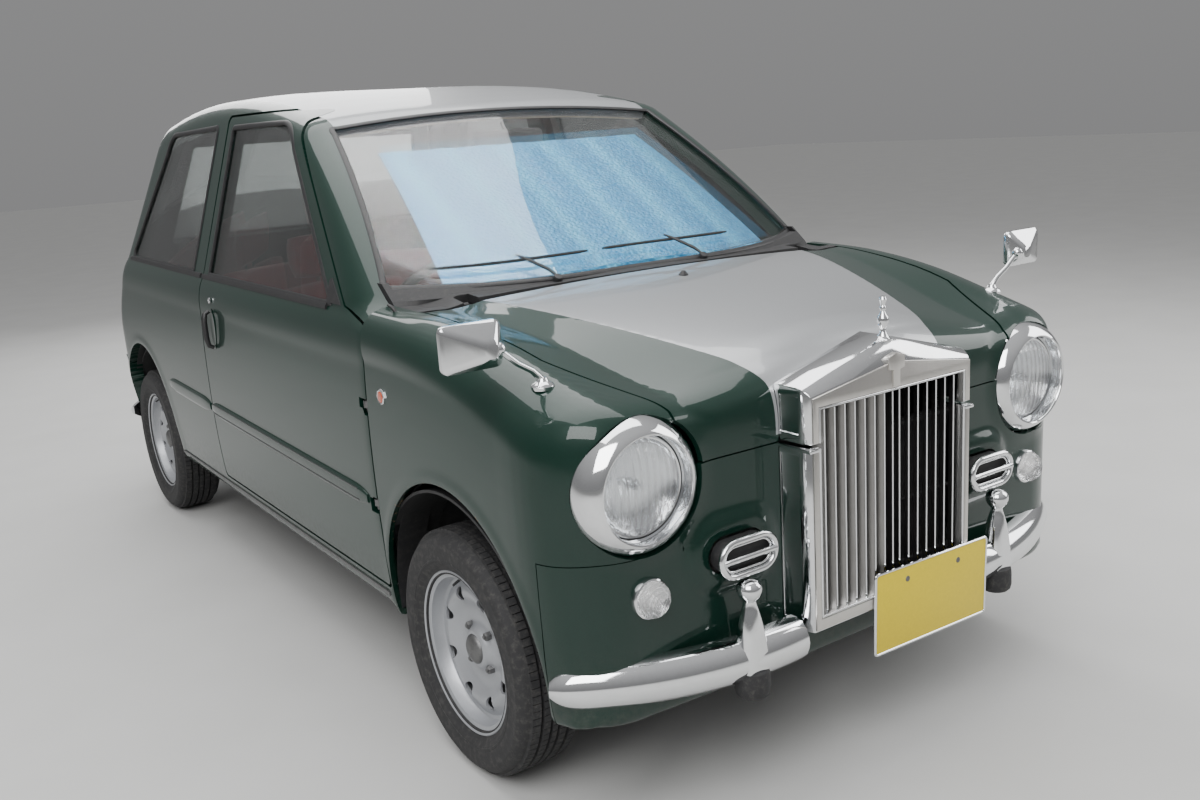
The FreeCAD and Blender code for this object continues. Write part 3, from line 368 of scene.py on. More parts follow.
@dataclass(frozen=True)
class Glass:
    """Window or lamp glass: a tint, a little film, and flutes or none."""

    name: str
    slot: str
    tint: Point3 = (0.90, 0.95, 0.93)
    clear: float = 0.8
    flutes: float = 0.0

    def make(self) -> Finish:
        """Builds the material."""
        g = Graph(self.name)
        film = g.noise(30.0, 6.0, 0.7).above(0.62, 0.12)
        g.set(Base_Color=g.mix(film * 0.15, self.tint, (0.8, 0.8, 0.78)), Transmission_Weight=1.0, IOR=1.45,
              Roughness=film * 0.015, Alpha=film * 0.02 + (1 - self.clear))
        if self.flutes:
            waves = [g.node("ShaderNodeTexWave", {"bands_direction": way, "wave_profile": "SIN"},
                            {"Vector": g.at(), "Scale": self.flutes * rate, "Distortion": 0.4})
                     for way, rate in (("X", 1.0), ("Z", 0.4))]
            g.bump(waves[0] + waves[1] * 0.5, 0.0016, 0.8)
        return Finish(g.material, self.slot)


@dataclass(frozen=True)
class Cloth:
    """Woven upholstery with piping-like ribs."""

    name: str
    slot: str
    color: Point3
    second: Point3
    weave: float = 420.0

    def make(self) -> Finish:
        """Builds the material."""
        g = Graph(self.name)
        waves = [g.node("ShaderNodeTexWave", {"bands_direction": way, "wave_profile": "SIN"}, {
            "Vector": g.at(), "Scale": self.weave, "Distortion": 0.6, "Detail": 1.0}) for way in ("X", "Z")]
        weave = waves[0] * waves[1]
        soil = g.noise(40.0, 5.0, 0.7).above(0.55, 0.2)
        color = g.mix(weave * 0.5 + soil * 0.25, self.color, self.second)
        g.set(Base_Color=color, Roughness=weave * 0.1 + 0.8, Sheen_Weight=0.35)
        g.bump(weave + g.noise(90.0, 3.0) * 0.6, 0.0004, 0.7)
        return Finish(g.material, self.slot)


@dataclass(frozen=True)
class Foil:
    """Blue metallised bubble sheet, with a painted highlight along the crests of its pleats."""

    name: str
    slot: str
    color: Point3 = (0.02, 0.22, 0.46)

    def make(self) -> Finish:
        """Builds the material."""
        g = Graph(self.name)
        cells = g.node("ShaderNodeTexVoronoi", {"feature": "F1"},
                       {"Vector": g.at((1, 1, 1.25)), "Scale": 95.0})
        bubble = 1 - cells.above(0.45, 0.25)
        crinkle = g.noise(38.0, 4.0, 0.7)
        # Painted highlight: ridge lightens the colour in narrow bands along the pleat crests, 143 mm apart,
        # where the folds would catch the light.
        ridge = (g.axis("x") * 22.0).wave() ** 8
        g.set(Base_Color=g.mix(bubble * 0.35 + crinkle.above(0.55, 0.2) * 0.4 + ridge * 0.5, self.color,
                               (0.12, 0.48, 0.72)), Metallic=0.55, Roughness=crinkle * 0.25 + 0.28,
              Coat_Weight=0.3)
        g.bump(bubble * 0.6 + crinkle, 0.0022, 0.9)
        return Finish(g.material, self.slot)


@dataclass(frozen=True)
class Finishes:
    """Every finish of the car, made once."""

    green: Finish = field(default_factory=Paint("green_paint", "body_paint", (0.0012, 0.014, 0.009),
                                                (0.005, 0.040, 0.026), 0.15, 0.42, 0.7, Wear.CHIPS).make)
    roof: Finish = field(default_factory=Paint(
        "roof_silver", "roof_paint", (0.30, 0.31, 0.32), (0.46, 0.47, 0.48), 0.55, 0.42, 0.5, Wear.NONE).make)
    silver: Finish = field(default_factory=Paint("bonnet_silver", "roof_paint", (0.33, 0.34, 0.35),
                                                 (0.50, 0.51, 0.52), 0.55, 0.36, 0.8, Wear.NONE).make)
    wheel: Finish = field(default_factory=Paint("wheel_paint", "wheel_silver", (0.36, 0.37, 0.39),
                                                (0.50, 0.51, 0.53), 0.6, 0.42, 0.25, Wear.NONE).make)
    chrome: Finish = field(default_factory=Metal("chrome", "chrome_trim").make)
    brushed: Finish = field(default_factory=Metal(
        "brushed_plate", "chrome_trim", (0.62, 0.60, 0.57), 0.24, (300, 300, 5)).make)
    vane: Finish = field(default_factory=Metal(
        "vane_steel", "chrome_trim", (0.30, 0.29, 0.28), 0.24, (300, 300, 5)).make)
    mirror: Finish = field(default_factory=Metal("mirror_glass", "chrome_trim", (0.9, 0.9, 0.9), 0.01,
                                                 grime=0.03).make)
    steel: Finish = field(default_factory=Metal("dull_steel", "bare_steel", (0.20, 0.20, 0.20), 0.5,
                                                grime=0.6).make)
    black: Finish = field(default_factory=Moulded("black_plastic", "black_plastic", (0.012, 0.012, 0.013),
                                                  0.45).make)
    flat: Finish = field(default_factory=Moulded("black_paint", "black_paint", (0.010, 0.010, 0.011),
                                                 0.6).make)
    rubber: Finish = field(default_factory=Moulded(
        "tyre_rubber", "tyre_rubber", (0.014, 0.014, 0.015), 0.75, 500, 0.00015, dusty=0.3).make)
    grey: Finish = field(default_factory=Moulded("grey_plastic", "black_plastic", (0.055, 0.055, 0.058), 0.6,
                                                 700).make)
    red_lens: Finish = field(default_factory=Moulded(
        "red_lens", "red_lamp", (0.34, 0.008, 0.008), 0.15, 260, 0.0003, 1.0, 0.05).make)
    amber: Finish = field(default_factory=Moulded(
        "amber_lens", "red_lamp", (0.42, 0.055, 0.012), 0.18, 260, 0.0003, 1.0, 0.05).make)
    yellow: Finish = field(default_factory=Moulded(
        "plate_yellow", "plate_yellow", (0.60, 0.46, 0.004), 0.5, 200, 0.00004, 0.1, 0.03).make)
    window: Finish = field(default_factory=Glass("window_glass", "window_glass", clear=0.85).make)
    dark_window: Finish = field(default_factory=Glass("side_glass", "window_glass", (0.42, 0.46, 0.45),
                                                      0.25).make)
    lens: Finish = field(default_factory=Glass("lamp_glass", "lamp_glass", (0.96, 0.98, 1.0), 0.35,
                                               22.0).make)
    clear_lens: Finish = field(default_factory=Glass("turn_glass", "lamp_glass", (0.95, 0.95, 0.95),
                                                     0.3).make)
    red_cloth: Finish = field(default_factory=Cloth(
        "seat_cloth", "trim_cloth", (0.20, 0.012, 0.018), (0.34, 0.03, 0.035)).make)
    beige: Finish = field(default_factory=Cloth(
        "lining_cloth", "trim_cloth", (0.42, 0.37, 0.28), (0.56, 0.51, 0.41)).make)
    foil: Finish = field(default_factory=Foil("shade_foil", "shade_foil").make)


# The body's outer form, in millimetres

# x, screen foot y, screen top y, screen top z, crown drop, roof end y, roof end z,
# tail shoulder y, tail shoulder z, tail belt y, tail low y
SIDE_VIEWS = (
    (0, -878, -215, 1335, 0, 1040, 1374, 1165, 1318, 1420, 1590),
    (430, -858, -225, 1320, 11, 1028, 1361, 1150, 1305, 1406, 1578),
    (705, -684, -276, 1270, 50, 965, 1310, 1072, 1254, 1322, 1510),
)
# y, side top z, ridge x, ridge z, valley x, valley z, panel edge x, panel edge z, middle z
FRONT_SECTIONS = (
    (-1640, 660, 526, 776, 420, 764, 218, 792, 836),
    (-1540, 690, 526, 796, 425, 784, 228, 810, 850),
    (-1400, 735, 540, 828, 440, 815, 285, 846, 870),
    (-1200, 782, 560, 880, 480, 868, 362, 886, 900),
    (-1000, 806, 585, 908, 530, 904, 435, 914, 924),
    (-760, 812, 606, 918, 570, 920, 500, 928, 942),
)
FLOOR_Z, SILL_HALF, WAIST, SHOULDER, BELT = 235.0, 668.0, (697.5, 560.0), (690.0, 800.0), (664.0, 905.0)
RAIL_HALF, RAIL_Z, CROWN_Y, CROWN_Z = 538.0, 1345.0, 250.0, 1400.0
NOSE_Y, TAIL_Y = -1548.0, 1600.0
DOOR_FRONT_Y, DOOR_REAR_Y, DOOR_LOW_Z, DOOR_TOP_Z = -790.0, 395.0, 298.0, 1350.0
BONNET_REAR_Y, BONNET_FRONT_Z, GAP, SKIN, WALL, ROOF_WALL = -900.0, 684.0, 6.0, 18.0, 46.0, 26.0
ARCH_RADIUS, FRONT_ARCH, REAR_ARCH = 315.0, (-1108.0, 296.0), (1190.0, 296.0)
SHELL_HALF, SHELL_FRONT_Y, LAMP_HALF, LAMP_Z, BEZEL_RADIUS = 222.0, -1619.0, 526.0, 668.0, 122.0
TURN_HALF, TURN_Z, TURN_RADIUS, INLET_HALF, INLET_Z = 523.0, 469.0, 35.0, 338.0, 510.0
FRONT_AXLE_Y, REAR_AXLE_Y, HUB_Z, HALF_TRACK, TYRE_RADIUS = -1090.0, 1190.0, 254.0, 611.0, 254.0
SIDES = ((-1, "right"), (1, "left"))
FRONT_WALL, GLASS, GLASS_SUNK = 12.0, 5.0, 4.0
ARCH_SWELL, INLET_SWELL, LAMP_SWELL, NOSE_END_Y = 5.0, 30.0, 10.0, -1300.0
ROOF_ROUND, PLAN_ROUND, NOSE_ROUND, DECK_ROUND = 46, 30, 26, 34
NUDGES = (0.0, 0.031, -0.027, 0.053)
TAIL_SPLIT_Y, DOOR_WALL, HINGE_Z, BUMPER_Z, DRIVER_X = 1089.0, 40.0, (480.0, 700.0), 318.0, -300.0


def arc(start: Point2, via: Point2, end: Point2, count: int = 12) -> list[Point2]:
    """Points on the circle through three points, without the last one.

    Args:
        start: The first point.
        via: A point on the way.
        end: The last point.
        count: How many points.

    Returns:
        The points from the first on.
    """
    a, b, c = (complex(*p) for p in (start, via, end))
    w = (c - a) / (b - a)
    if abs(w.imag) < 1e-6:
        return [tuple(np.array(start) + (np.array(end) - np.array(start)) * i / count) for i in range(count)]
    centre = (b - a) * (w - abs(w) ** 2) / (2j * w.imag) + a
    radius = abs(a - centre)
    angles = [math.atan2((p - centre).imag, (p - centre).real) for p in (a, b, c)]
    turn = (angles[2] - angles[0]) % math.tau
    if (angles[1] - angles[0]) % math.tau > turn:
        turn -= math.tau
    return [(centre.real + radius * math.cos(angles[0] + turn * i / count),
             centre.imag + radius * math.sin(angles[0] + turn * i / count)) for i in range(count)]


def path(start: Point2, *steps: tuple) -> list[Point2]:
    """A closed outline: a step of two numbers is a line to there, one of four an arc through and to.

    Args:
        start: The first point.
        steps: The lines and arcs.

    Returns:
        The outline's points.
    """
    points: list[Point2] = []
    here = start
    for step in (*steps, start):
        there = (step[-2], step[-1])
        if len(step) == 4:
            points += arc(here, (step[0], step[1]), there)
        else:
            points.append(here)
        here = there
    return points


def eased(table: Sequence[Sequence[float]], at: float) -> np.ndarray:
    """A row between the rows of a table, on smooth curves through them.

    Args:
        table: Rows whose first number is the station.
        at: The station wanted.

    Returns:
        The row there, without its station.
    """
    rows = np.array(table, float)
    s, v = rows[:, 0], rows[:, 1:]
    slope = np.gradient(v, s, axis=0)
    at = min(max(at, s[0]), s[-1])
    i = min(int(np.searchsorted(s, at, side="right")) - 1, len(s) - 2)
    h = s[i + 1] - s[i]
    t = (at - s[i]) / h
    return ((1 + 2 * t) * (1 - t) ** 2 * v[i] + t * (1 - t) ** 2 * h * slope[i]
            + t * t * (3 - 2 * t) * v[i + 1] + t * t * (t - 1) * h * slope[i + 1])


class Rim:
    """A closed outline that changes along an axis, kept as its reach from a centre at every angle."""

    ANGLES = 720

    def __init__(self, centre: Point2, stations: Sequence[float],
                 shape: Callable[[float], list[Point2]]) -> None:
        """Tabulates the outline.

        Args:
            centre: A point that sees the whole outline.
            stations: Where along the axis the outline is tabulated, evenly spaced.
            shape: Gives the outline at a station.
        """
        self.centre = np.array(centre)
        self.stations = np.array(stations, float)
        theta = np.linspace(-math.pi, math.pi, self.ANGLES, endpoint=False)
        rays = np.stack([np.cos(theta), np.sin(theta)], 1)
        table = []
        for station in stations:
            p = np.array(shape(station)) - self.centre
            d = np.roll(p, -1, 0) - p
            cross = rays[:, None, 0] * d[None, :, 1] - rays[:, None, 1] * d[None, :, 0]
            cross = np.where(np.abs(cross) < 1e-9, 1e-9, cross)
            far = (p[None, :, 0] * d[None, :, 1] - p[None, :, 1] * d[None, :, 0]) / cross
            along = (p[None, :, 0] * rays[:, None, 1] - p[None, :, 1] * rays[:, None, 0]) / cross
            far = np.where((far > 0) & (along >= -1e-6) & (along <= 1 + 1e-6), far, 1e9)
            table.append(far.min(1))
        self.table = np.array(table)
        rate = (np.roll(self.table, -1, 1) - np.roll(self.table, 1, 1)) / (2 * math.tau / self.ANGLES)
        self.facing = self.table / np.sqrt(self.table ** 2 + rate ** 2)

    def outside(self, station: np.ndarray, a: np.ndarray, b: np.ndarray) -> np.ndarray:
        """How far points lie outside the outline, negative inside.

        Args:
            station: Where along the axis each point is.
            a: The first coordinate in the outline's plane.
            b: The second coordinate.

        Returns:
            The distances.
        """
        a, b = a - self.centre[0], b - self.centre[1]
        turn = (np.arctan2(b, a) + math.pi) / math.tau * self.ANGLES
        low = np.floor(turn).astype(int)
        part = turn - low
        low %= self.ANGLES
        high = (low + 1) % self.ANGLES
        if len(self.stations) > 1:
            step = self.stations[1] - self.stations[0]
            row = np.clip((station - self.stations[0]) / step, 0, len(self.stations) - 1.0001)
        else:
            row = np.zeros_like(a)
        first = np.floor(row).astype(int)
        share = row - first
        second = np.minimum(first + 1, len(self.stations) - 1)

        def look(table: np.ndarray) -> np.ndarray:
            """The table's value between its four nearest entries."""
            near = table[first, low] * (1 - part) + table[first, high] * part
            far = table[second, low] * (1 - part) + table[second, high] * part
            return near * (1 - share) + far * share

        return (np.hypot(a, b) - look(self.table)) * look(self.facing)


def rounded(a: np.ndarray, b: np.ndarray, radius: float) -> np.ndarray:
    """The larger of two distances, with the edge between them rounded."""
    near = np.maximum(radius - np.abs(a - b), 0) / radius
    return np.maximum(a, b) + near * near * radius / 4


def bulge(x: np.ndarray, edge: float, soft: float) -> np.ndarray:
    """1 inside an edge and 0 outside, with a smooth slope between."""
    t = np.clip((edge + soft - x) / (2 * soft), 0, 1)
    return t * t * (3 - 2 * t)


def front_outline() -> list[Point2]:
    """The cabin seen from the front: sill, waist, shoulder, belt and the leaning glass side."""
    lean = (BELT[0] - RAIL_HALF) / (RAIL_Z - BELT[1])
    top = BELT[0] - lean * (1500 - BELT[1])
    mid = (SHOULDER[0] - 6, (SHOULDER[1] + BELT[1]) / 2 + 8)
    return path((SILL_HALF, FLOOR_Z - 1), (*WAIST, *SHOULDER), (*mid, *BELT), (top, 1500), (-top, 1500),
                (-BELT[0], BELT[1]), (-mid[0], mid[1], -SHOULDER[0], SHOULDER[1]),
                (-WAIST[0], WAIST[1], -SILL_HALF, FLOOR_Z - 1))


def plan_outline() -> list[Point2]:
    """The body seen from above, with its bowed nose and tail."""
    half = WAIST[0] + 2
    return path((-560, NOSE_Y + 20), (0, NOSE_Y, 560, NOSE_Y + 20), (656, NOSE_Y + 68, half, NOSE_Y + 173),
                (half, TAIL_Y - 190), (660, TAIL_Y - 82, 560, TAIL_Y - 34), (0, TAIL_Y, -560, TAIL_Y - 34),
                (-660, TAIL_Y - 82, -half, TAIL_Y - 190), (-half, NOSE_Y + 173),
                (-656, NOSE_Y + 68, -560, NOSE_Y + 20))


def side_outline(x: float) -> list[Point2]:
    """The cabin's outline in side view at a distance from the middle."""
    table = [(-row[0], *row[1:]) for row in reversed(SIDE_VIEWS[1:])] + list(SIDE_VIEWS)
    foot_y, top_y, top_z, drop, end_y, end_z, hip_y, hip_z, belt_y, low_y = eased(table, x)
    return path((DOOR_FRONT_Y - 30, FLOOR_Z), (DOOR_FRONT_Y - 30, 886), (foot_y, 925),
                ((foot_y + top_y) / 2 - 6, (925 + top_z) / 2 + 10, top_y, top_z),
                (CROWN_Y, CROWN_Z - drop, end_y, end_z), ((end_y + hip_y) / 2 + 12, (end_z + hip_z) / 2 + 8,
                                                          hip_y, hip_z), (belt_y, BELT[1]), (low_y, 640),
                (low_y, FLOOR_Z))


def deck_outline(y: float) -> list[Point2]:
    """The front body's outline across the car at a station, with its ridges over the lamps."""
    side_z, ridge_x, ridge_z, valley_x, valley_z, edge_x, edge_z, middle_z = eased(FRONT_SECTIONS, y)
    half = [((SHOULDER[0] + ridge_x) / 2 + 36, (side_z + ridge_z) / 2 + 22, ridge_x, ridge_z),
            ((ridge_x + valley_x) / 2, (ridge_z + valley_z) / 2 + 1, valley_x, valley_z),
            ((valley_x + edge_x) / 2, (valley_z + edge_z) / 2 - 2, edge_x, edge_z)]
    ends = [(SHOULDER[0], side_z), *[(h[2], h[3]) for h in half]]
    back = [(-half[i][0], half[i][1], -ends[i][0], ends[i][1]) for i in (2, 1, 0)]
    return path((SILL_HALF, FLOOR_Z), (*WAIST, *ends[0]), *half, (0, middle_z, -edge_x, edge_z), *back,
                (-WAIST[0], WAIST[1], -SILL_HALF, FLOOR_Z))


def nose_outline() -> list[Point2]:
    """The nose in side view: upright to the bonnet's front edge, then leaning back."""
    return path((NOSE_Y, FLOOR_Z - 10), (NOSE_Y, BONNET_FRONT_Z), (NOSE_Y + 6, 760, NOSE_Y + 62, 832),
                (NOSE_Y + 200, 1000), (-400, 1000), (-400, FLOOR_Z - 10))


FRONT_RIM = Rim((0, 650), [0], lambda _: front_outline())
PLAN_RIM = Rim((0, 0), [0], lambda _: plan_outline())
SIDE_RIM = Rim((300, 720), np.linspace(-705, 705, 95), side_outline)
DECK_RIM = Rim((0, 560), np.linspace(-1640, -760, 89), deck_outline)
NOSE_RIM = Rim((-1000, 560), [0], lambda _: nose_outline())


def arch_swell(y: np.ndarray, z: np.ndarray, centre: Point2) -> tuple[np.ndarray, np.ndarray]:
    """How far points are from an arch's centre, and how much the body swells there round the arch."""
    far = np.hypot(y - centre[0], z - centre[1])
    return far, ARCH_SWELL * bulge(np.abs(far - ARCH_RADIUS - 8), 10, 16)


def cabin_form(p: np.ndarray) -> np.ndarray:
    """How far points lie outside the cabin."""
    x, y, z = p.T
    side = FRONT_RIM.outside(x, x, z)
    for centre in (FRONT_ARCH, REAR_ARCH):
        far, swell = arch_swell(y, z, centre)
        side -= swell * (far > ARCH_RADIUS - 40)
    main = rounded(side, SIDE_RIM.outside(x, y, z), ROOF_ROUND)
    return rounded(main, PLAN_RIM.outside(x, x, y), PLAN_ROUND)


def front_form(p: np.ndarray) -> np.ndarray:
    """How far points lie outside the front body."""
    x, y, z = p.T
    deck = DECK_RIM.outside(y, x, z) - arch_swell(y, z, FRONT_ARCH)[1] * (z < 640)
    front = PLAN_RIM.outside(x, x, y)
    inlet = np.hypot(np.maximum(np.abs(np.abs(x) - INLET_HALF) - 34, 0) / 60, (z - INLET_Z) / 62)
    front = front - INLET_SWELL * bulge(inlet, 1.0, 0.34) * (y < NOSE_END_Y)
    lamp = np.hypot(np.abs(x) - LAMP_HALF, z - LAMP_Z)
    front = front - LAMP_SWELL * bulge(lamp, BEZEL_RADIUS + 6, 26) * (y < NOSE_END_Y)
    nose = rounded(front, NOSE_RIM.outside(y, y, z), NOSE_ROUND)
    return rounded(deck, nose, DECK_ROUND)


# Mesh work


def mesh_of(bm: bmesh.types.BMesh, name: str) -> bpy.types.Mesh:
    """A mesh from a bmesh, which is freed."""
    mesh = bpy.data.meshes.new(name)
    bm.to_mesh(mesh)
    bm.free()
    return mesh


def finish_mesh(bm: bmesh.types.BMesh, name: str, finish: Finish, body: str = "body",
                replaced: Sequence[str] = (), sharp: float = 32.0) -> bpy.types.Object:
    """Turns a bmesh into a piece of the car.

    Args:
        bm: The shape, in metres, which is freed.
        name: The piece's name.
        finish: Its material and slot.
        body: The body it rides on.
        replaced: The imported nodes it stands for.
        sharp: Edges above this angle, in degrees, stay sharp.

    Returns:
        The object.
    """
    for face in bm.faces:
        face.smooth = True
    mesh = mesh_of(bm, name)
    mesh.set_sharp_from_angle(angle=math.radians(sharp))
    mesh.materials.append(finish.material)
    made = bpy.data.objects.new(name, mesh)
    bpy.context.scene.collection.objects.link(made)
    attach(made, body)
    if replaced:
        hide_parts(*replaced)
    log.info("%s: %d faces", name, len(mesh.polygons))
    return made


def wrapped(name: str, low: Point3, high: Point3, core_low: Point3, core_high: Point3,
            form: Callable[[np.ndarray], np.ndarray], cuts: int) -> bpy.types.Object:
    """A closed dense skin: a box's grid drawn in from all sides onto a form.

    Args:
        name: The helper object's name.
        low: The box's lowest corner, in millimetres.
        high: Its highest corner.
        core_low: The lowest corner of an inner box that the grid is drawn towards.
        core_high: Its highest corner.
        form: How far points lie outside the form.
        cuts: Cuts along every edge of the box.

    Returns:
        A helper object, in metres.
    """
    bm = bmesh.new()
    bmesh.ops.create_cube(bm, size=1.0)
    bmesh.ops.subdivide_edges(bm, edges=bm.edges[:], cuts=cuts, use_grid_fill=True)
    low_v, high_v = np.array(low), np.array(high)
    grid = np.array([v.co for v in bm.verts]) * (high_v - low_v) + (high_v + low_v) / 2
    core = np.clip(grid, core_low, core_high)
    placed = core + (grid - core) * depth_of(form, core, grid - core, 1.6)[:, None]
    for vert, co in zip(bm.verts, placed * MM):
        vert.co = co
    bmesh.ops.recalc_face_normals(bm, faces=bm.faces[:])
    return bpy.data.objects.new(name, mesh_of(bm, name))


def depth_of(form: Callable[[np.ndarray], np.ndarray], start: np.ndarray, way: np.ndarray,
             most: float) -> np.ndarray:
    """How many times their way rays go before they leave a form."""
    near, far = np.zeros(len(start)), np.full(len(start), most)
    for _ in range(24):
        half = (near + far) / 2
        out = form(start + way * half[:, None]) > 0
        far, near = np.where(out, half, far), np.where(out, near, half)
    return (near + far) / 2


def onto(form: Callable[[np.ndarray], np.ndarray], start: np.ndarray,
         way: Point3) -> tuple[np.ndarray, np.ndarray]:
    """Where rays leave a form.

    Args:
        form: How far points lie outside the form.
        start: Points inside it, in millimetres.
        way: The rays' common direction.

    Returns:
        The points on the form and its outward normals there.
    """
    start = np.array(start, float)
    ways = np.tile(np.array(way, float), (len(start), 1))
    hit = start + ways * depth_of(form, start, ways, 1600.0)[:, None]
    slope = np.stack([form(hit + step) - form(hit - step) for step in np.eye(3) * 2.0], 1)
    return hit, slope / np.linalg.norm(slope, axis=1, keepdims=True)


class Facing(Enum):
    """The plane an outline is drawn in."""

    SIDE = "yz"
    FRONT = "xz"
    TOP = "xy"


@dataclass
class Block:
    """A straight block behind an outline, in millimetres."""

    facing: Facing
    low: float
    high: float
    outline: Sequence[Point2]

    def solid(self) -> bmesh.types.BMesh:
        """Builds the block, closed and in metres."""
        bm = bmesh.new()
        order = {Facing.SIDE: (2, 0, 1), Facing.FRONT: (0, 2, 1), Facing.TOP: (0, 1, 2)}[self.facing]
        face = bm.faces.new([bm.verts.new([(a, b, self.low)[i] * MM for i in order])
                             for a, b in self.outline])
        moved = bmesh.ops.extrude_face_region(bm, geom=[face])
        shift = [0.0, 0.0, 0.0]
        shift[order.index(2)] = (self.high - self.low) * MM
        bmesh.ops.translate(bm, verts=[v for v in moved["geom"] if isinstance(v, bmesh.types.BMVert)],
                            vec=shift)
        bmesh.ops.recalc_face_normals(bm, faces=bm.faces[:])
        return bm

    def soft(self, width: float, segments: int = 2) -> bmesh.types.BMesh:
        """Builds the block with rounded edges."""
        return softened(self.solid(), width, segments)


def softened(bm: bmesh.types.BMesh, width: float, segments: int = 2,
             above: float = 32.0) -> bmesh.types.BMesh:
    """Rounds the edges of a shape that are sharper than an angle in degrees."""
    bmesh.ops.dissolve_limit(bm, angle_limit=0.01, verts=bm.verts[:], edges=bm.edges[:])
    edges = [e for e in bm.edges if e.is_manifold and e.calc_face_angle(0.0) > math.radians(above)]
    bmesh.ops.bevel(bm, geom=edges, offset=width * MM, offset_type="OFFSET", segments=segments, profile=0.5,
                    affect="EDGES", clamp_overlap=True, material=-1)
    return bm


def drum(centre: Point2, radius: float, low: float, high: float, facing: Facing = Facing.SIDE,
         count: int = 96) -> Block:
    """A round block along the axis of a drawing plane."""
    return Block(facing, low, high, [(centre[0] + radius * math.cos(math.tau * i / count),
                                      centre[1] + radius * math.sin(math.tau * i / count))
                                     for i in range(count)])


def crate(low: Point3, high: Point3) -> Block:
    """A box between two corners."""
    return Block(Facing.TOP, low[2], high[2], [(low[0], low[1]), (high[0], low[1]), (high[0], high[1]),
                                               (low[0], high[1])])


def marker(name: str) -> bpy.types.Material:
    """A material that only tells faces apart, made once."""
    return bpy.data.materials.get(name) or bpy.data.materials.new(name)


def sliced(mesh: bpy.types.Mesh, block: Block, operation: str, nudge: float,
           folded: bool = False) -> bpy.types.Mesh:
    """One exact Boolean of a mesh with a block.

    Args:
        mesh: The mesh, with one material.
        block: The other side, whose faces take the second material.
        operation: INTERSECT or DIFFERENCE.
        nudge: How far the block is moved along each axis, in millimetres.
        folded: Whether the mesh may cross itself.

    Returns:
        A new mesh.
    """
    work = bpy.data.objects.new("work", mesh)
    helper = bpy.data.objects.new("helper", mesh_of(block.solid(), "block"))
    helper.data.materials.append(marker("cut_side"))
    helper.location = (nudge * MM, nudge * 1.3 * MM, nudge * 0.7 * MM)
    for item in (work, helper):
        bpy.context.scene.collection.objects.link(item)
    step = work.modifiers.new("cut", "BOOLEAN")
    step.operation, step.object, step.solver, step.material_mode = operation, helper, "EXACT", "TRANSFER"
    step.use_self = folded
    bpy.context.view_layer.update()
    done = bpy.data.meshes.new_from_object(work.evaluated_get(bpy.context.evaluated_depsgraph_get()))
    for item in (work, helper):
        bpy.data.objects.remove(item)
    return done


def carved(bm: bmesh.types.BMesh, *blocks: Block, folded: bool = False) -> bmesh.types.BMesh:
    """A solid shape with blocks taken away, which keeps the cut faces."""
    least_share = 0.6
    mesh = mesh_of(bm, "carved")
    for block in blocks:
        for nudge in NUDGES:
            done = sliced(mesh, block, "DIFFERENCE", nudge, folded)
            if len(done.polygons) > least_share * len(mesh.polygons):
                break
        else:
            log.warning("a notch of %d corners was left out", len(block.outline))
            continue
        mesh = done
    made = bmesh.new()
    made.from_mesh(mesh)
    for face in made.faces:
        face.material_index = 0
    return made


def cut(skin: bpy.types.Object, inside: Sequence[Block], outside: Sequence[Block]) -> bmesh.types.BMesh:
    """The part of a closed skin inside some blocks and outside others, as an open sheet.

    Args:
        skin: The closed skin.
        inside: Blocks that keep what they share with the skin, all of them together.
        outside: Blocks that take away.

    Returns:
        The sheet.
    """
    fewest = 60
    mesh = skin.data.copy()
    mesh.materials.append(marker("skin_side"))
    for operation, blocks in (("INTERSECT", inside), ("DIFFERENCE", outside)):
        for block in blocks:
            for nudge in NUDGES:
                done = sliced(mesh, block, operation, nudge)
                if len(done.polygons) >= fewest:
                    break
            mesh = done
    marks = {i for i, m in enumerate(mesh.materials) if m is not None and m.name == "cut_side"}
    bm = bmesh.new()
    bm.from_mesh(mesh)
    bmesh.ops.delete(bm, geom=[f for f in bm.faces if f.material_index in marks], context="FACES")
    for face in bm.faces:
        face.material_index = 0
    return bm


def thick(bm: bmesh.types.BMesh, depth: float) -> bmesh.types.BMesh:
    """Gives an open sheet its thickness inwards, in millimetres.

    Args:
        bm: The sheet, with its faces outwards.
        depth: The thickness.

    Returns:
        The same bmesh, closed.
    """
    bmesh.ops.remove_doubles(bm, verts=bm.verts[:], dist=1e-6)
    bmesh.ops.dissolve_degenerate(bm, edges=bm.edges[:], dist=1e-6)
    bm.normal_update()
    rims = [e for e in bm.edges if e.is_boundary]
    outer = bm.faces[:]
    copy = bmesh.ops.duplicate(bm, geom=bm.verts[:] + bm.edges[:] + bm.faces[:])
    twin = {a: b for a, b in copy["vert_map"].items() if isinstance(a, bmesh.types.BMVert) and a.is_valid}
    shift = {a: a.normal.copy() for a in {v for f in outer for v in f.verts}}
    inner = [f for f in copy["geom"] if isinstance(f, bmesh.types.BMFace)]
    for a, normal in shift.items():
        twin[a].co = a.co - normal * depth * MM
    for edge in rims:
        a, b = edge.verts
        loop = edge.link_faces[0].loops
        first = next(l for l in loop if l.edge == edge).vert
        if first != a:
            a, b = b, a
        bm.faces.new((b, a, twin[a], twin[b]))
    bmesh.ops.reverse_faces(bm, faces=inner)
    return bm


def shrunk(bm: bmesh.types.BMesh, depth: float) -> bmesh.types.BMesh:
    """Moves an open sheet inwards along its normals, in millimetres."""
    bm.normal_update()
    for vert, normal in [(v, v.normal.copy()) for v in bm.verts]:
        vert.co -= normal * depth * MM
    return bm


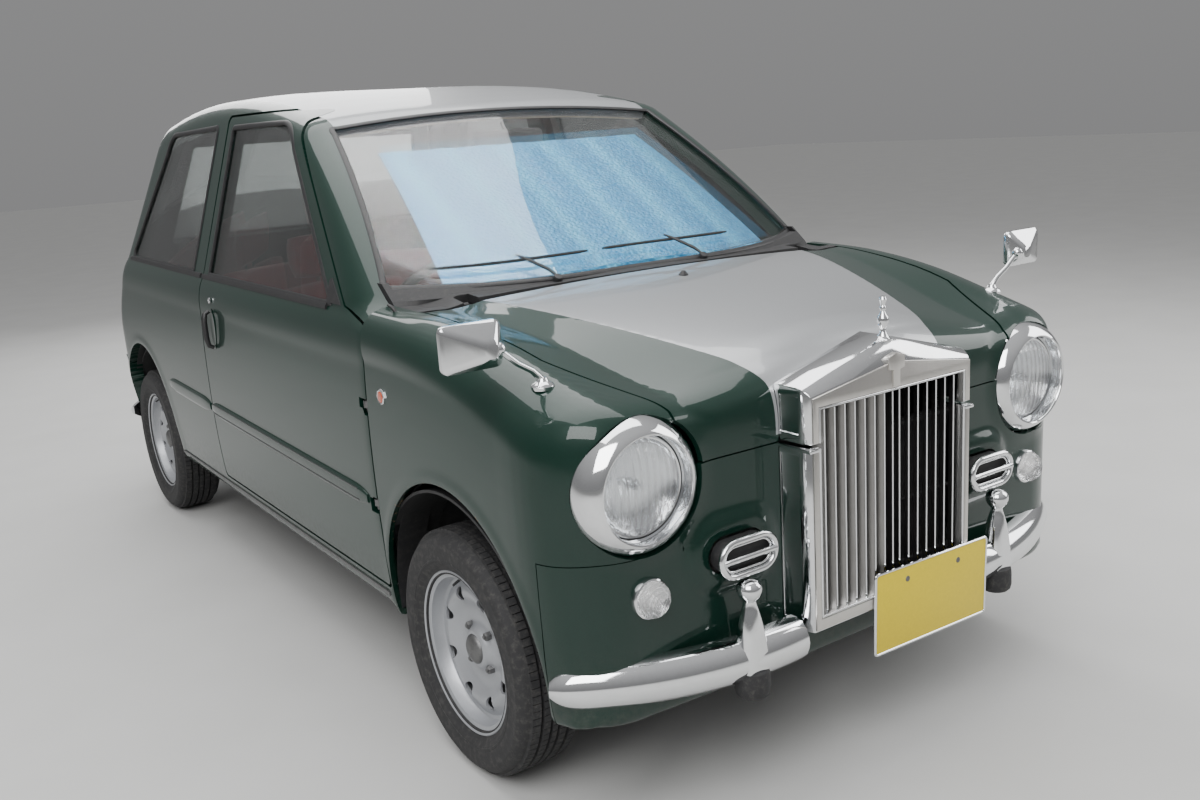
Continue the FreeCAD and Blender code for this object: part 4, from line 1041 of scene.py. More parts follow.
def loft(rings: Sequence[Sequence[Point3]], around: bool = False) -> bmesh.types.BMesh:
    """Skins a row of closed rings of points, in millimetres, and caps its ends.

    Args:
        rings: The rings, with as many points each.
        around: Whether the last ring joins the first.

    Returns:
        A closed bmesh in metres.
    """
    bm = bmesh.new()
    rows = [[bm.verts.new([c * MM for c in p]) for p in ring] for ring in rings]
    count = len(rows[0])
    for low, high in list(zip(rows, rows[1:])) + ([(rows[-1], rows[0])] if around else []):
        for i in range(count):
            j = (i + 1) % count
            bm.faces.new((low[i], low[j], high[j], high[i]))
    if not around:
        bm.faces.new(rows[0][::-1])
        bm.faces.new(rows[-1])
    bmesh.ops.recalc_face_normals(bm, faces=bm.faces[:])
    return bm


def tube(points: Sequence[Point3], radius: float | Sequence[float], sides: int = 14,
         around: bool = False) -> bmesh.types.BMesh:
    """A round tube along points.

    Args:
        points: Its centreline, in millimetres.
        radius: Its radius, or one for every point.
        sides: Corners of its section.
        around: Whether it is a closed ring.

    Returns:
        A closed bmesh in metres.
    """
    p = np.array(points, float)
    ahead = np.roll(p, -1, 0) - np.roll(p, 1, 0) if around else np.gradient(p, axis=0)
    ahead /= np.linalg.norm(ahead, axis=1, keepdims=True)
    up = np.cross(ahead[0], (0.31, 0.57, 0.76))
    rings = []
    for place, way, r in zip(p, ahead, np.broadcast_to(radius, len(p))):
        up = up - way * (up @ way)
        up /= np.linalg.norm(up)
        side = np.cross(way, up)
        rings.append([place + r * (up * math.cos(a) + side * math.sin(a))
                      for a in np.linspace(0, math.tau, sides, endpoint=False)])
    return loft(rings, around)


def lathe(profile: Sequence[Point2], at: Point3 = (0, 0, 0), axis: Point3 = (0, -1, 0),
          steps: int = 64) -> bmesh.types.BMesh:
    """A turned shape.

    Args:
        profile: Points of (radius, along), from the axis round to it or back to the first point.
        at: Where the profile's zero lies, in millimetres.
        axis: Which way along counts.
        steps: Faces round it.

    Returns:
        A closed bmesh in metres.
    """
    bm = bmesh.new()
    verts = [bm.verts.new((r * MM, 0, a * MM)) for r, a in profile]
    edges = [bm.edges.new(ends) for ends in zip(verts, verts[1:])]
    bmesh.ops.spin(bm, geom=[*verts, *edges], cent=(0, 0, 0), axis=(0, 0, 1), dvec=(0, 0, 0), angle=math.tau,
                   steps=steps, use_merge=True)
    bmesh.ops.remove_doubles(bm, verts=bm.verts[:], dist=1e-6)
    turn = Vector((0, 0, 1)).rotation_difference(Vector(axis)).to_matrix().to_4x4()
    bmesh.ops.transform(bm, matrix=Matrix.Translation(Vector(at) * MM) @ turn, verts=bm.verts[:])
    bmesh.ops.recalc_face_normals(bm, faces=bm.faces[:])
    return bm


def gathered(*parts: bmesh.types.BMesh) -> bmesh.types.BMesh:
    """Several shapes in one, which are freed."""
    whole = bmesh.new()
    for part in parts:
        mesh = mesh_of(part, "part")
        whole.from_mesh(mesh)
        bpy.data.meshes.remove(mesh)
    return whole


def mirrored(bm: bmesh.types.BMesh) -> bmesh.types.BMesh:
    """A copy on the other side of the middle."""
    twin = bm.copy()
    bmesh.ops.scale(twin, vec=(-1, 1, 1), verts=twin.verts[:])
    bmesh.ops.reverse_faces(twin, faces=twin.faces[:])
    return twin


def paired(bm: bmesh.types.BMesh) -> bmesh.types.BMesh:
    """A shape with its mirror image."""
    return gathered(mirrored(bm), bm)


def mirror_outline(points: Sequence[Point2]) -> list[Point2]:
    """An outline on the other side of the middle."""
    return [(-x, z) for x, z in reversed(points)]


def round_box(centre: Point2, width: float, height: float, corner: float) -> list[Point2]:
    """A rectangle with round corners."""
    points = []
    for turn, (sx, sz) in enumerate(((1, 1), (-1, 1), (-1, -1), (1, -1))):
        for i in range(6):
            a = math.tau / 4 * (turn + i / 5)
            points.append((centre[0] + sx * (width / 2 - corner) + corner * math.cos(a),
                           centre[1] + sz * (height / 2 - corner) + corner * math.sin(a)))
    return points


def strip(form: Callable[[np.ndarray], np.ndarray], start: np.ndarray, way: Point3, section: Sequence[Point2],
          around: bool = False, tips: int = 0) -> bmesh.types.BMesh:
    """A moulding that follows a form.

    Args:
        form: The form it lies on.
        start: Points inside the form whose rays meet its centreline, in millimetres.
        way: The rays' direction.
        section: Its closed section, as points of (outwards, across).
        around: Whether it is a closed ring.
        tips: How many stations at each end shrink to round the tips.

    Returns:
        A closed bmesh in metres.
    """
    hit, out = onto(form, start, way)
    ahead = np.roll(hit, -1, 0) - np.roll(hit, 1, 0) if around else np.gradient(hit, axis=0)
    across = np.cross(out, ahead)
    across /= np.linalg.norm(across, axis=1, keepdims=True)
    rings = []
    for i, (p, n, c) in enumerate(zip(hit, out, across)):
        near = min(i, len(hit) - 1 - i)
        size = math.sqrt(1 - (1 - (near + 0.5) / tips) ** 2) if near < tips else 1.0
        rings.append([p + n * a * (0.3 + 0.7 * size) + c * b * size for a, b in section])
    return loft(rings, around)


def along(*corners: Point3, step: float = 24.0) -> np.ndarray:
    """Points every so many millimetres from corner to corner."""
    points = []
    for a, b in zip(corners, corners[1:]):
        a, b = np.array(a, float), np.array(b, float)
        count = max(1, int(np.linalg.norm(b - a) / step))
        points += [a + (b - a) * i / count for i in range(count)]
    return np.array([*points, np.array(corners[-1], float)])


# Outlines of the panels


def door_outline(gap: float = 0.0) -> list[Point2]:
    """The door in side view, drawn in by a gap."""
    top = DOOR_TOP_Z - gap
    return path((DOOR_FRONT_Y + gap + 16, DOOR_LOW_Z + gap), (DOOR_REAR_Y - gap - 18, DOOR_LOW_Z + gap),
                (DOOR_REAR_Y - gap - 5, DOOR_LOW_Z + gap + 5, DOOR_REAR_Y - gap, DOOR_LOW_Z + gap + 18),
                (DOOR_REAR_Y - 6 - gap, BELT[1]), (DOOR_REAR_Y - 44 - gap * 1.8, top - 26),
                (DOOR_REAR_Y - 52 - gap * 1.8, top - 7, DOOR_REAR_Y - 74 - gap, top), (-110 + gap, top),
                (-190 + gap, top - 24, -246 + gap, top - 72), (-662 + gap, BELT[1] + 10 - gap / 2),
                (DOOR_FRONT_Y + gap, BELT[1] - 22 - gap / 2), (DOOR_FRONT_Y + gap, DOOR_LOW_Z + gap + 16),
                (DOOR_FRONT_Y + gap + 5, DOOR_LOW_Z + gap + 5, DOOR_FRONT_Y + gap + 16, DOOR_LOW_Z + gap))


def door_window() -> list[Point2]:
    """The door's window in side view."""
    low, top = BELT[1] + 6, DOOR_TOP_Z - 34
    return path((-582, low), (DOOR_REAR_Y - 70, low),
                (DOOR_REAR_Y - 64, low + 3, DOOR_REAR_Y - 63, low + 12), (DOOR_REAR_Y - 96, top - 16),
                (DOOR_REAR_Y - 100, top - 5, DOOR_REAR_Y - 112, top), (-90, top),
                (-165, top - 24, -210, top - 70))


def quarter_window() -> list[Point2]:
    """The rear side window in side view."""
    low, top = BELT[1] + 6, DOOR_TOP_Z - 30
    return path((DOOR_REAR_Y + 96, low), (1180, low), (1208, low + 8, 1200, low + 40), (960, top - 62),
                (935, top - 26, 880, top - 8), (DOOR_REAR_Y + 64, top),
                (DOOR_REAR_Y + 46, top - 3, DOOR_REAR_Y + 44, top - 20), (DOOR_REAR_Y + 88, low + 8),
                (DOOR_REAR_Y + 90, low + 3, DOOR_REAR_Y + 96, low))


def windscreen_outline(grow: float = 0.0) -> list[Point2]:
    """The windscreen's opening seen from the front."""
    return path((-584 - grow, 948 - grow), (0, 936 - grow, 584 + grow, 948 - grow),
                (594 + grow, 952 - grow, 592 + grow, 962 - grow), (490 + grow, 1278 + grow),
                (486 + grow, 1290 + grow, 474 + grow, 1292 + grow),
                (0, 1318 + grow, -474 - grow, 1292 + grow),
                (-486 - grow, 1290 + grow, -490 - grow, 1278 + grow), (-592 - grow, 962 - grow),
                (-594 - grow, 952 - grow, -584 - grow, 948 - grow))


def tailgate_outline(gap: float = 0.0) -> list[Point2]:
    """The tailgate seen from behind."""
    return path((-530 + gap, 470 + gap), (530 - gap, 470 + gap),
                (552 - gap, 479 + gap, 560 - gap, 500 + gap), (572 - gap, BELT[1]), (470 - gap, 1340),
                (462 - gap, 1450), (-462 + gap, 1450), (-470 + gap, 1340), (-572 + gap, BELT[1]),
                (-560 + gap, 500 + gap), (-552 + gap, 479 + gap, -530 + gap, 470 + gap))


def rear_window() -> list[Point2]:
    """The rear window seen from behind."""
    return path((-480, BELT[1] + 40), (480, BELT[1] + 40), (494, BELT[1] + 45, 496, BELT[1] + 58),
                (430, 1264), (425, 1278, 410, 1282), (-410, 1282), (-425, 1278, -430, 1264),
                (-496, BELT[1] + 58), (-494, BELT[1] + 45, -480, BELT[1] + 40))


def bonnet_outline(gap: float = 0.0) -> list[Point2]:
    """The bonnet seen from above."""
    rear = BONNET_REAR_Y - gap * 7 / 3
    return path((-600 + gap, rear), (-582 + gap, -1090, -560 + gap, -1290), (-455 + gap, NOSE_Y + 30),
                (-455 + gap, NOSE_Y - 90), (455 - gap, NOSE_Y - 90), (455 - gap, NOSE_Y + 30),
                (560 - gap, -1290), (582 - gap, -1090, 600 - gap, rear))


def silver_outline(grow: float = 0.0) -> list[Point2]:
    """The silver top of the bonnet seen from above, along the creases."""
    half = [(eased(FRONT_SECTIONS, y)[5] + grow, y) for y in np.linspace(-1640, -880, 20)]
    return [(-x, y) for x, y in half] + half[::-1]


def oval(centre: Point2, width: float, height: float) -> list[Point2]:
    """A long oval with round ends."""
    x, z = centre
    flat, half = (width - height) / 2, height / 2
    return path((x - flat, z - half), (x + flat, z - half), (x + width / 2, z, x + flat, z + half),
                (x - flat, z + half), (x - width / 2, z, x - flat, z - half))


ARCHES = [drum(FRONT_ARCH, ARCH_RADIUS, -800, -620), drum(FRONT_ARCH, ARCH_RADIUS, 620, 800),
          drum(REAR_ARCH, ARCH_RADIUS, -800, -620), drum(REAR_ARCH, ARCH_RADIUS, 620, 800)]
SHELL_PLACE = crate((-SHELL_HALF - 1, -1700, 300), (SHELL_HALF + 1, NOSE_Y + SKIN, 900))
FRONT_ONLY = crate((-800, -1700, 0), (800, DOOR_FRONT_Y, 1200))
BONNET_BLOCK = Block(Facing.TOP, BONNET_FRONT_Z, 1100, bonnet_outline())
DECK_BLOCK = crate((-604, BONNET_REAR_Y, 500), (604, -600, 1100))


def nose_blocks(grow: float) -> list[Block]:
    """The nose panel's region: the low nose and the part between the lamps."""
    return [crate((-800, -1700, 200), (800, -1430 + grow, 546 + grow)),
            crate((-LAMP_HALF - grow, -1700, 545.5), (LAMP_HALF + grow, -1478, BONNET_FRONT_Z))]


ROOF_BLOCK = crate((-478, -330, 1250), (478, 1250, 1500))


def tail_side(gap: float = 0.0) -> Block:
    """The tailgate's region in side view, behind the roof's rear edge."""
    split = TAIL_SPLIT_Y + gap
    return Block(Facing.SIDE, -800, 800, [(split, 1450), (split, 1300), (1250, 890), (1250, 300),
                                          (1750, 300), (1750, 1450)])


def both(block: Block) -> list[Block]:
    """A block beside the middle, and its mirror image."""
    if block.facing is Facing.SIDE:
        return [block, Block(block.facing, -block.high, -block.low, block.outline)]
    return [block, Block(block.facing, block.low, block.high, mirror_outline(block.outline))]


def beside(block: Block, side: int) -> Block:
    """A block made on the left, as wanted: itself for 1, its mirror image for -1."""
    return both(block)[side < 0]


def on_side(bm: bmesh.types.BMesh, side: int) -> bmesh.types.BMesh:
    """A shape made on the left, as wanted: itself for 1, its mirror image for -1, both for 0."""
    if side == 0:
        return paired(bm)
    if side > 0:
        return bm
    other = mirrored(bm)
    bm.free()
    return other


def part_way(value: float, low: float, high: float) -> float:
    """How far a value lies between two others, from 0 to 1."""
    return min(max((value - low) / (high - low), 0.0), 1.0)


def dense(outline: Sequence[Point2], step: float = 22.0) -> list[Point2]:
    """An outline with no long edges."""
    points = []
    for a, b in zip(outline, [*outline[1:], outline[0]]):
        count = max(1, round(math.dist(a, b) / step))
        points += [(a[0] + (b[0] - a[0]) * i / count, a[1] + (b[1] - a[1]) * i / count) for i in range(count)]
    return points


@dataclass
class BodyShell:
    """The painted panels and the windows, cut from two smooth skins."""

    kit: Finishes
    front: bpy.types.Object = field(init=False)
    cabin: bpy.types.Object = field(init=False)

    def skins(self) -> None:
        """Draws the two closed skins that every panel is cut from."""
        self.front = wrapped("front_skin", (-720, -1660, 200), (720, -760, 1000), (-430, -1330, 420),
                             (430, -800, 700), front_form, 110)
        self.cabin = wrapped("cabin_skin", (-720, -960, 200), (720, 1660, 1440), (-380, -300, 600),
                             (380, 900, 1000), cabin_form, 120)

    def panel(self, name: str, skin: bpy.types.Object, inside: Sequence[Block], outside: Sequence[Block],
              depth: float, finish: Finish, body: str = "body", replaced: Sequence[str] = (),
              sunk: float = 0.0, notches: Sequence[Block] = ()) -> bpy.types.Object:
        """Cuts one panel.

        Args:
            name: The piece's name.
            skin: The closed skin it comes from.
            inside: Blocks that keep.
            outside: Blocks that take away.
            depth: Its thickness in millimetres.
            finish: Its material and slot.
            body: The body it rides on.
            replaced: The nodes it stands for.
            sunk: How far it lies inside the skin, in millimetres.
            notches: Blocks taken from the finished thickness.

        Returns:
            The object.
        """
        sheet = cut(skin, inside, outside)
        if sunk:
            shrunk(sheet, sunk)
        solid = thick(sheet, depth)
        return finish_mesh(carved(solid, *notches, folded=True) if notches else solid, name, finish, body,
                           replaced)

    def nose(self) -> None:
        """Cuts the panels ahead of the doors."""
        kit, front = self.kit, self.front
        headlamps = both(drum((LAMP_HALF, LAMP_Z), BEZEL_RADIUS + 1, -1700, -1440, Facing.FRONT))
        turns = both(drum((TURN_HALF, TURN_Z), TURN_RADIUS + 1, -1700, -1440, Facing.FRONT, 48))
        inlets = both(Block(Facing.FRONT, -1700, -1500, oval((INLET_HALF, INLET_Z), 132, 70)))
        bonnet = Block(Facing.TOP, BONNET_FRONT_Z + GAP / 2, 1100, bonnet_outline(GAP))
        lamp_gap = both(drum((LAMP_HALF, LAMP_Z), BEZEL_RADIUS + GAP, -1700, -1440, Facing.FRONT))
        silver = Block(Facing.TOP, 700, 1100, silver_outline())
        self.panel("bonnet_skin", front, [bonnet], [silver, SHELL_PLACE, *lamp_gap], FRONT_WALL, kit.green,
                   "bonnet", ["bonnet"])
        self.panel("bonnet_top", front, [bonnet, Block(Facing.TOP, 700, 1100, silver_outline(0.3))],
                   [SHELL_PLACE], FRONT_WALL, kit.silver, "bonnet")
        self.panel("nose_skin", front, [nose_blocks(0)[0]],
                   [*headlamps, *turns, *inlets, SHELL_PLACE, *ARCHES[:2]], FRONT_WALL, kit.green,
                   replaced=["nose_panel"])
        self.panel("nose_upper_skin", front, [nose_blocks(0)[1]], [*headlamps, SHELL_PLACE, *inlets],
                   FRONT_WALL, kit.green)
        self.panel("fender_skins", front, [FRONT_ONLY],
                   [BONNET_BLOCK, *nose_blocks(2.0), DECK_BLOCK, *headlamps, *ARCHES[:2],
                    crate((-621, -1700, 100), (621, -600, 500))], FRONT_WALL, kit.green,
                   replaced=["front_fenders"])
        deck = crate((-604, BONNET_REAR_Y, 500), (604, -650, 1100))
        slots = both(crate((460, -930, 850), (500, BONNET_REAR_Y + 32, 980)))
        self.panel("cowl_skin", front, [deck], [crate((-800, -868, 0), (800, -600, 1100)), *slots],
                   FRONT_WALL, kit.flat)

    def doors(self) -> None:
        """Cuts the doors with their glass, frames and lining."""
        kit, cabin = self.kit, self.cabin
        inner = [(-700, 340), (340, 340), (340, 890), (-620, 890)]
        for side, label in SIDES:
            body = f"door_{label}"
            solid, window, lining = (beside(Block(Facing.SIDE, 1, 760, outline), side)
                                     for outline in (door_outline(GAP), door_window(), path(*inner)))
            rebate = [crate((560, DOOR_FRONT_Y - 10, DOOR_LOW_Z - 5), (662, -752, BELT[1]))]
            rebate += [crate((619, -789, z - 6), (690, -749, z + 30)) for z in HINGE_Z]
            self.panel(f"door_skin_{label}", cabin, [solid], [window, *ARCHES], DOOR_WALL, kit.green, body,
                       [body], notches=[beside(block, side) for block in rebate])
            self.panel(f"door_pane_{label}", cabin, [window], [], GLASS, kit.dark_window, body,
                       [f"door_glass_{label}"], sunk=GLASS_SUNK)
            self.panel(f"door_lining_{label}", cabin, [lining], [], GLASS, kit.grey, body,
                       sunk=DOOR_WALL + 0.5)

    def build(self) -> None:
        """Cuts all the panels and windows."""
        self.skins()
        self.nose()
        self.doors()
        kit, cabin = self.kit, self.cabin
        windscreen = Block(Facing.FRONT, -1000, -100, windscreen_outline())
        tail_glass = Block(Facing.FRONT, 700, 1640, rear_window())
        door = Block(Facing.SIDE, 1, 760, door_outline())
        quarter = Block(Facing.SIDE, 1, 760, quarter_window())
        lamps = both(Block(Facing.FRONT, 1400, 1700, [(588, 560), (652, 560), (648, 770), (588, 770)]))
        behind = crate((-800, TAIL_SPLIT_Y, 0), (800, 1800, 1500))
        self.panel("roof_skin", cabin, [ROOF_BLOCK], [windscreen, tail_glass, behind], ROOF_WALL, kit.roof,
                   replaced=["roof_panel"], sunk=0.5)
        self.panel("headlining", cabin, [crate((-466, -300, 1250), (466, 1040, 1500))],
                   [windscreen, tail_glass], 4, kit.beige, sunk=ROOF_WALL + 0.5)
        sides = crate((-800, DOOR_FRONT_Y, 0), (800, 1700, 1500))
        tail = Block(Facing.FRONT, 700, 1700, tailgate_outline())
        hollows = [crate((-604, -1000, 100), (604, -690, 960)), crate((-600, -900, 200), (600, 1500, 300)),
                   crate((-621, 875, 150), (621, 1505, 300)), crate((-560, 1200, 200), (560, 1700, 471))]
        self.panel("side_skins", cabin, [sides],
                   [ROOF_BLOCK, *both(door), *both(quarter), windscreen, *ARCHES, tail, *hollows, *lamps],
                   WALL, kit.green, replaced=["side_panels"])
        self.panel("rear_skin", cabin, [crate((-559, 1300, 242), (559, 1700, 470))], [], 16, kit.green,
                   replaced=["rear_panel"])
        self.panel("screen_foot", cabin, [crate((-604, -1000, 890), (604, -690, 960))], [windscreen], 20,
                   kit.flat)
        self.panel("windscreen_pane", cabin, [windscreen], [], GLASS, kit.window, replaced=["windscreen"],
                   sunk=GLASS_SUNK)
        self.panel("quarter_panes", cabin, [quarter], [], GLASS, kit.dark_window, sunk=GLASS_SUNK)
        self.panel("quarter_pane_right", cabin, [both(quarter)[1]], [], GLASS, kit.dark_window,
                   replaced=["quarter_glass"], sunk=GLASS_SUNK)
        gate = [Block(Facing.FRONT, 700, 1700, tailgate_outline(GAP)), tail_side(GAP)]
        self.panel("tailgate_skin", cabin, gate, [tail_glass], ROOF_WALL, kit.green, "tailgate",
                   ["tailgate"])
        self.panel("tailgate_pane", cabin, [tail_glass], [], GLASS, kit.dark_window, "tailgate",
                   ["tailgate_glass"], sunk=GLASS_SUNK)
        for name, low, high, finish in (("stop_lamps", 640, 769, kit.red_lens),
                                        ("rear_turn_lamps", 598, 639, kit.amber),
                                        ("reverse_lamps", 561, 597, kit.clear_lens)):
            halves = [cut(cabin, [block, crate((-800, 1400, low), (800, 1700, high))], []) for block in lamps]
            finish_mesh(gathered(*(thick(half, 16) for half in halves)), name, finish,
                        replaced=["tail_lamps"] if name == "stop_lamps" else ())
        backs = [shrunk(cut(cabin, [block], []), 18) for block in lamps]
        finish_mesh(gathered(*(thick(back, 20) for back in backs)), "tail_lamp_backs", kit.black)
        flanges, section = [], ((596, 1.0), (664, 1.0), (664, 1.014), (596, 1.014))
        for y, z in (FRONT_ARCH, REAR_ARCH):
            ring = [(y + (ARCH_RADIUS + 1) * math.cos(a), z + (ARCH_RADIUS + 1) * math.sin(a))
                    for a in np.linspace(math.radians(-8), math.radians(188), 61)]
            flanges.append(loft([[(a, y + (b - y) * r, z + (c - z) * r) for a, r in section]
                                 for b, c in ring]))
        finish_mesh(paired(gathered(*flanges)), "arch_flanges", kit.flat)


# Pieces built round the body


@dataclass
class RadiatorShell:
    """The upright polished shell: its upper half on the bonnet, its lower half with the vanes on the body."""

    kit: Finishes
    half: float = SHELL_HALF
    front: float = SHELL_FRONT_Y
    inside: float = 197.0
    low_z: float = 333.0
    sill_z: float = 361.0
    split_z: float = 688.0
    header_z: float = 755.0
    corner_z: float = 793.0
    peak_z: float = 853.0
    vane_count: int = 15
    vane_depth: float = 24.0
    vane_turn: float = math.radians(32)

    def housing(self, low: float, high: float | None) -> bmesh.types.BMesh:
        """The polished housing, hollow behind its opening.

        Args:
            low: Its lower end.
            high: Its flat upper end, or None for the pediment.

        Returns:
            The housing.
        """
        rings = []
        for y, drop in ((4, 1.0), (11, 0.55), (22, 0.14), (32, 0.0), (89, 0.0)):
            half = self.half - 8 * drop
            corner = high or self.corner_z - 16 * drop
            peak = high or self.peak_z - 42 * drop
            rings.append([(x, self.front + y, z) for x, z in (
                (-half, low), (half, low), (half, corner), (half * 0.5, (corner + peak) / 2), (0, peak),
                (-half * 0.5, (corner + peak) / 2), (-half, corner))])
        floor = low - 60 if high is None else self.sill_z
        top = self.header_z if high is None else high + 60
        shape = carved(loft(rings), crate((-self.inside, -1700, floor), (self.inside, -1500, top)),
                       crate((-self.half + 10, self.front + 24, floor),
                             (self.half - 10, -1500, top + (22 if high is None else 0))),
                       *both(crate((self.half - 3.5, self.front + 30, low + 16),
                                   (self.half + 20, self.front + 76, (high or self.corner_z) - 18))))
        return softened(shape, 1.6)

    def build(self) -> None:
        """Builds both halves."""
        kit, front, gap = self.kit, self.front, GAP / 2
        low, high = self.split_z + gap, self.split_z - gap
        finish_mesh(self.housing(low, None), "shell_housing_upper", kit.chrome, "bonnet", ["shell_top"])
        finish_mesh(self.housing(self.low_z, high), "shell_housing_lower", kit.chrome,
                    replaced=["radiator_grille"])
        edge, inner = self.half - 9, self.inside + 3
        header = [(-edge, low + 2), (-inner, low + 2), (-inner, self.header_z + 3),
                  (inner, self.header_z + 3), (inner, low + 2), (edge, low + 2), (edge, 775), (0, 808),
                  (-edge, 775)]
        finish_mesh(Block(Facing.FRONT, front, front + 5, header).soft(1.2), "shell_header", kit.brushed,
                    "bonnet")
        frame_front = [(-edge, self.low_z + 4), (edge, self.low_z + 4), (edge, high - 2), (inner, high - 2),
                       (inner, self.sill_z - 3), (-inner, self.sill_z - 3), (-inner, high - 2),
                       (-edge, high - 2)]
        finish_mesh(Block(Facing.FRONT, front, front + 5, frame_front).soft(1.2), "shell_side_frames",
                    kit.brushed)
        i, y = self.inside, front + 2
        finish_mesh(tube(along((-i, y, low + 2), (-i, y, self.header_z), (i, y, self.header_z),
                               (i, y, low + 2), step=60), 2.6), "shell_bead_upper", kit.chrome, "bonnet")
        finish_mesh(tube(along((-i, y, high - 2), (-i, y, self.sill_z), (i, y, self.sill_z),
                               (i, y, high - 2), step=60), 2.6), "shell_bead_lower", kit.chrome)
        lips = both(crate((self.inside + 2, front - 2, high - 8), (self.half + 2, front + 88, high - 1)))
        finish_mesh(gathered(*(lip.soft(1.8) for lip in lips)), "shell_split_lips", kit.chrome)
        plaque = [(-9, 760), (9, 760), (9, 792), (21, 794), (21, 818), (0, 824), (-21, 818), (-21, 794),
                  (-9, 792)]
        finish_mesh(Block(Facing.FRONT, front - 3, front + 14, plaque).soft(1.0), "shell_plaque",
                    kit.brushed, "bonnet")
        finial = [(0, 0), (17, 0), (17, 3), (12, 6), (9, 10), (6, 16), (5, 22), (8, 28), (11, 36), (10, 44),
                  (6, 50), (4, 55), (6, 59), (6, 62), (4, 66), (6, 72), (7, 77), (5, 82), (0, 84)]
        finish_mesh(lathe(finial, (0, -1588, 842), (0, 0, 1), 32), "finial", kit.chrome, "bonnet")
        self.vanes()

    def vanes(self) -> None:
        """Builds the vanes with their bright front edges, the tie bars and the core behind."""
        pitch, row_y, ties_y = 2 * (self.inside - 2) / self.vane_count, self.front + 19, self.front + 33
        low, high, depth = self.sill_z - 8, self.header_z - 6, self.vane_depth / 2
        section = [(-1.1, depth), (-1.1, 3 - depth), (1.1, 3 - depth), (1.1, depth)]
        vanes, edges = [], []
        for index in range(self.vane_count):
            x = (index - (self.vane_count - 1) / 2) * pitch
            turn = 0.0 if abs(x) < 1 else -math.copysign(self.vane_turn, x)
            c, s = math.cos(turn), math.sin(turn)
            placed = [(x + u * c - v * s, row_y + u * s + v * c) for u, v in section]
            vanes.append(loft([[(a, b, z) for a, b in placed] for z in (low, high)]))
            tip = (x + (depth - 1.6) * s, row_y - (depth - 1.6) * c)
            edges.append(tube([(*tip, low), (*tip, high)], 1.7, 8))
        finish_mesh(gathered(*vanes), "grille_vanes", self.kit.vane)
        finish_mesh(gathered(*edges), "grille_vane_edges", self.kit.chrome)
        ties = [tube([(-self.inside - 6, ties_y, z), (self.inside + 6, ties_y, z)], 4)
                for z in (393, 520, 672)]
        core = crate((-self.inside, self.front + 58, self.sill_z),
                     (self.inside, self.front + 70, 672)).soft(3)
        finish_mesh(gathered(*ties, core), "grille_core", self.kit.flat)


